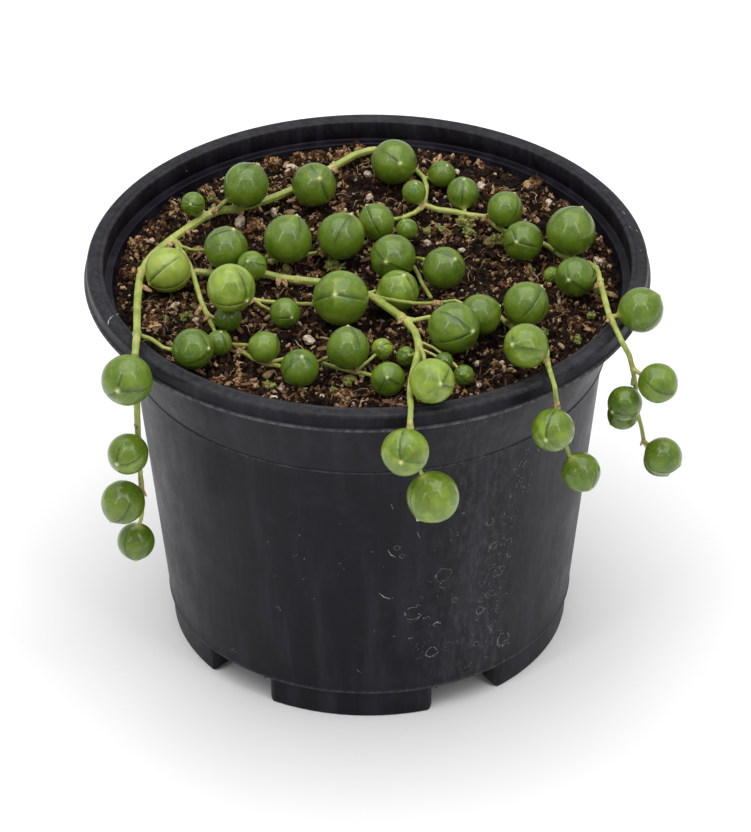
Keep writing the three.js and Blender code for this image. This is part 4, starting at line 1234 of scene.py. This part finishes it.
# Dried bracts on each strand: where each starts and ends in the view, in pixels, and its width in
# millimetres.
BRACTS = {
    "a": [
        ((142, 284), (153, 292), 0.9), ((171, 243), (166, 249), 0.8), ((188, 228), (190, 236), 0.8),
        ((201, 303), (193, 321), 0.8), ((207, 316), (202, 322), 0.7), ((214, 212), (219, 207), 0.7),
        ((334, 167), (339, 173), 0.9), ((137, 430), (134, 424), 0.6), ((142, 490), (147, 497), 0.6),
    ],
    "b": [
        ((277, 277), (278, 287), 1.1), ((282, 279), (287, 288), 0.9), ((370, 296), (376, 300), 0.9),
        ((401, 318), (397, 324), 0.8), ((434, 303), (444, 303), 1.0),
    ],
    "c": [((252, 300), (248, 305), 0.7)],
    "d": [((237, 349), (239, 357), 0.9), ((322, 363), (327, 356), 0.9), ((355, 371), (358, 366), 0.7)],
    "e": [
        ((424, 205), (421, 211), 0.8), ((487, 217), (480, 221), 0.9), ((474, 214), (478, 220), 0.8),
        ((598, 281), (594, 288), 0.9), ((609, 318), (605, 322), 0.7), ((643, 441), (640, 446), 0.6),
    ],
    "g": [((547, 358), (543, 363), 0.8), ((557, 405), (561, 409), 0.6)],
    "h": [((318, 253), (323, 257), 0.7)],
}
# Withered leaves on the soil: the middle in pixels, then the length and width in millimetres.
WITHERED = [(612, 290, 2.4, 0.9), (291, 208, 2.4, 1.2), (269, 372, 2.2, 1.2), (359, 150, 1.8, 1.0)]


def scale_parts(start, end, width, rng, thickness=0.10):
    """A thin, pointed, cupped scale."""
    along = end - start
    length = along.length
    along.normalize()
    across = along.cross(-forward).normalized()
    out = across.cross(along)
    steps, row = 8, 3
    vertices, faces = [], []
    for layer in (0, 1):
        for i in range(steps + 1):
            share = i / steps
            half = width / 2 * math.sin(math.pi * (0.2 + 0.8 * share)) ** 0.8 + 0.02
            curl = 0.2 * length * math.sin(math.pi * share)
            for k in (-1, 0, 1):
                cup = 0.3 * width * (abs(k) - 0.5)
                spot = start + along * (share * length) + across * (k * half)
                vertices.append(spot + out * (curl + cup + thickness * layer + rng.gauss(0, 0.05)))
    sheet = (steps + 1) * row
    for i in range(steps):
        for k in range(row - 1):
            near, far = i * row + k, (i + 1) * row + k
            faces.append((near, far, far + 1, near + 1))
            faces.append((near + sheet, near + 1 + sheet, far + 1 + sheet, far + sheet))
        left, right = i * row, i * row + row - 1
        faces.append((left, left + sheet, left + row + sheet, left + row))
        faces.append((right, right + row, right + row + sheet, right + sheet))
    for k in range(row - 1):
        near, far = k, steps * row + k
        faces.append((near, near + 1, near + 1 + sheet, near + sheet))
        faces.append((far, far + sheet, far + 1 + sheet, far + 1))
    return vertices, faces


def make_dry_parts(skins):
    rng = random.Random(71)
    look = dry_look()
    parts = []
    for strand, bracts in BRACTS.items():
        for start, end, width in bracts:
            root = Vector(seen_on(skins[strand], *start))
            depth = (root - eye).dot(forward)
            point = eye + sight(*end) * (depth - 0.2)
            parts.append(scale_parts(root, point, width, rng))
    add_piece(joined("dry_bracts", parts, [rng.random() for _ in parts]), "stem", look)
    parts = []
    for across, down, length, width in WITHERED:
        middle = over(across, down, 0.5)
        heading = Vector((1, rng.uniform(-0.3, 0.3), 0)).normalized() * length / 2
        ends = [middle - heading, middle + heading]
        for spot in ends:
            spot.z = soil_height(spot.x, spot.y) + 0.5
        parts.append(scale_parts(*ends, width, rng, 0.35))
    add_piece(joined("withered_leaves", parts, [rng.random() for _ in parts]), "soil", look)


# ---------------------------------------------------------------- marks on the pot

# Water rings on the wall: across and down in pixels, radius in millimetres, brightness.
WATER_RINGS = [
    (412, 614, 1.8, 0.8), (443, 575, 1.7, 0.35), (432, 652, 1.3, 0.7), (503, 639, 1.6, 1.0),
    (490, 522, 0.8, 0.5), (480, 610, 0.9, 0.5), (493, 546, 0.9, 0.4), (499, 571, 1.2, 0.4),
    (437, 624, 0.7, 0.6), (526, 464, 0.8, 0.4), (455, 600, 0.6, 0.4), (521, 480, 0.6, 0.4),
    (489, 594, 0.9, 0.4), (476, 644, 0.6, 0.5), (402, 556, 0.5, 0.4), (397, 548, 0.6, 0.4),
]
# Trails of dried drops on the wall: the number of drops, then their spread and the trail's points,
# in pixels.
TRAILS = [
    (120, 6, [(540, 425), (520, 470), (506, 530), (488, 590), (498, 645)]),
    (26, 9, [(462, 520), (445, 575), (414, 610), (432, 655)]),
    (40, 26, [(500, 600), (470, 650), (400, 640)]),
    (24, 40, [(220, 560), (300, 620), (390, 560)]),
]
# Scratches on the wall and on the rim's top: their points in pixels.
WALL_SCRATCHES = [
    [(391, 504), (393, 509)], [(388, 550), (391, 555), (396, 557)], [(379, 593), (384, 597), (391, 599)],
    [(357, 670), (361, 673)], [(432, 625), (437, 622), (441, 624)], [(492, 545), (488, 552)],
    [(536, 436), (534, 443)], [(417, 532), (420, 538)],
]
RIM_SCRATCHES = [
    [(108, 325), (108.5, 321), (111, 317.5), (114, 315.5)], [(116, 315), (119, 313.5)],
    [(622, 211), (625, 214)], [(636, 230), (638, 232)], [(640, 250.5), (641, 251)], [(629, 226), (631, 228)],
    [(186, 171), (187, 171)],
]
WALL_SCRATCH_RADIUS = 0.09
RIM_SCRATCH_RADIUS = 0.12


def slab(vertices, outline):
    """A closed slab between two copies of an outline."""
    count = len(vertices) // 2
    faces = [tuple(i + count for i in outline), tuple(reversed(outline))]
    for i, j in zip(outline, outline[1:] + outline[:1]):
        faces.append((i, j, j + count, i + count))
    return vertices, faces


def wall_patch(center, points):
    """A thin patch that lies on the wall. Its points are [sideways, up] from its middle."""
    angle = math.atan2(center.y, center.x)
    placed = []
    for lift in (-0.02, 0.02):
        for sideways, up in points:
            height = center.z + up
            radius = wall_radius(height) + lift
            turn = angle + sideways / radius
            placed.append(Vector((radius * math.cos(turn), radius * math.sin(turn), height)))
    return slab(placed, tuple(range(len(points))))


def ring_marks(center, radius, rng):
    """An uneven ring, open where it has worn off."""
    seed = rng.uniform(0, 90)
    steps = 44
    parts = []

    def reach(turn, side):
        at = Vector((1.3 * math.cos(turn), 1.3 * math.sin(turn), seed))
        width = 0.05 + 0.10 * abs(noise.noise(at * 2))
        return radius * (1 + 0.30 * noise.noise(at)) + side * width / 2

    for i in range(steps):
        turns = [2 * math.pi * k / steps for k in (i, i + 1)]
        worn = noise.noise(Vector((math.cos(turns[0]), math.sin(turns[0]), seed + 7)))
        if worn < 0.12:
            corners = [(turns[0], -1), (turns[0], 1), (turns[1], 1), (turns[1], -1)]
            points = [(reach(t, s) * math.cos(t), reach(t, s) * math.sin(t)) for t, s in corners]
            parts.append(wall_patch(center, points))
    return parts


def dried_drop(center, rng):
    """Specks along part of the edge of a drop that has dried on the wall."""
    radius, turn = rng.uniform(0.2, 1.1), rng.uniform(0, 2 * math.pi)
    specks = []
    for _ in range(rng.randint(2, 7)):
        turn += rng.uniform(0.15, 0.5)
        reach, size = radius * rng.uniform(0.8, 1.2), rng.uniform(0.03, 0.09)
        points = []
        for k in range(5):
            way, out = 0.4 * math.pi * k, size * rng.uniform(0.5, 1.4)
            sideways = reach * math.cos(turn) + out * math.cos(way)
            points.append((sideways, reach * math.sin(turn) + out * math.sin(way)))
        specks.append(wall_patch(center, points))
    return specks


def scratch(path, radius):
    """A thin raised line through points of the surface, with tapering ends."""
    radii = [radius] * len(path)
    radii[0] = radii[-1] = radius * 0.4
    return strand_parts(path, radii)


def make_marks():
    rng = random.Random(83)
    parts, tones = [], []
    for across, down, radius, tone in WATER_RINGS:
        for share in (1.0, 0.84):
            ring = ring_marks(on_wall(across, down), radius * share, rng)
            parts += ring
            tones += [tone * share * rng.uniform(0.5, 1.0) for _ in ring]
    for count, spread, points in TRAILS:
        for _ in range(count):
            leg = rng.randrange(len(points) - 1)
            place = Vector(points[leg]).lerp(Vector(points[leg + 1]), rng.random())
            spot = on_wall(place.x + rng.gauss(0, spread), place.y + rng.gauss(0, spread))
            if FOOT_HEIGHT + 2.5 < spot.z < STEP_HEIGHT - 2:
                drop = dried_drop(spot, rng)
                parts += drop
                tones += [rng.uniform(0.1, 1.0) for _ in drop]
    for line in WALL_SCRATCHES:
        parts.append(scratch([on_wall(*place) for place in line], WALL_SCRATCH_RADIUS))
        tones.append(0.8)
    for line in RIM_SCRATCHES:
        points = [at_height(*place, POT_HEIGHT - 0.05) for place in line]
        parts.append(scratch(points, RIM_SCRATCH_RADIUS))
        tones.append(1.0)
    add_piece(joined("water_marks", parts, tones), "pot", mark_look())


# ---------------------------------------------------------------- floor, light and camera

FLOOR_WHITE = (0.915, 0.915, 0.92)
FLOOR_CLOUD = (0.90, 0.90, 0.905)
FLOOR_HALF = 6.0  # metres
ROOM_STRENGTH = 0.58
SOFTBOXES = {  # where each stands, what it points at and its size, in metres, and its power in watts
    "softbox_above": ((0, 0.02, 1.10), (0, 0, 0), (1.3, 1.46), 12.8),
    "strip_left": ((-0.52, -0.56, 0.76), (0, 0, 0.07), (0.10, 0.80), 1.3),
    "strip_right": ((0.50, -0.56, 0.76), (0, 0, 0.07), (0.10, 0.80), 1.3),
}


def make_floor():
    corners = [(x * FLOOR_HALF, y * FLOOR_HALF, 0) for x, y in ((-1, -1), (1, -1), (1, 1), (-1, 1))]
    mesh = bpy.data.meshes.new("floor")
    mesh.from_pydata(corners, [], [(0, 1, 2, 3)])
    floor = bpy.data.objects.new("floor", mesh)
    scene.collection.objects.link(floor)
    look = Look("pale_floor", Specular_IOR_Level=0.2)
    cloudy = look.noise(120.0, 2, 0.5)
    colour = look.mix(look.ramp(cloudy, 0.3, 0.7), FLOOR_CLOUD, FLOOR_WHITE)
    mesh.materials.append(look.finish(colour, 0.9, look.bump(cloudy, 0.01)))


def add_softbox(name, place, target, size, power):
    light = bpy.data.lights.new(name, "AREA")
    light.shape = "RECTANGLE"
    light.size, light.size_y = size
    light.energy = power
    lamp = bpy.data.objects.new(name, light)
    lamp.location = place
    lamp.rotation_mode = "QUATERNION"
    lamp.rotation_quaternion = (Vector(target) - Vector(place)).to_track_quat("-Z", "Y")
    scene.collection.objects.link(lamp)


def make_light():
    world = bpy.data.worlds.new("studio")
    scene.world = world
    world.use_nodes = True
    background = world.node_tree.nodes["Background"]
    background.inputs["Color"].default_value = (1.0, 1.0, 1.0, 1.0)
    background.inputs["Strength"].default_value = ROOM_STRENGTH
    for name, settings in SOFTBOXES.items():
        add_softbox(name, *settings)


def make_camera():
    data = bpy.data.cameras.new("camera")
    data.sensor_width = SENSOR
    data.lens = VIEW_FOCUS / VIEW_HEIGHT * SENSOR
    data.clip_start = 0.05
    data.clip_end = 30.0
    camera = bpy.data.objects.new("camera", data)
    turn = Matrix((rightward, upward, -forward)).transposed()
    camera.matrix_world = Matrix.Translation(eye * MM + AXIS) @ turn.to_4x4()
    scene.collection.objects.link(camera)
    scene.camera = camera


# ---------------------------------------------------------------- assembly

def make_soil_parts():
    crumb, fibre = soil_look("soil_crumb"), fibre_look()
    make_soil()
    make_crumbs(crumb)
    make_clods(crumb)
    make_perlite()
    make_moss()
    make_fibres(fibre)
    make_bark(fibre)


def make_plant():
    leaf, stem = leaf_look(), stem_look()
    skins = {}
    for strand in JOINTS:
        points, _ = node_shape(f"stem_{strand}")
        for name in PEARL_TONES:
            if name[0] == strand:
                make_pearl(name, points, leaf)
        skins[strand] = make_stem(strand, stem)
    make_young_leaves(leaf)
    make_dry_parts(skins)


scene.view_settings.view_transform = "Standard"
make_camera()
make_floor()
make_light()
make_pot()
make_marks()
make_soil_parts()
make_plant()
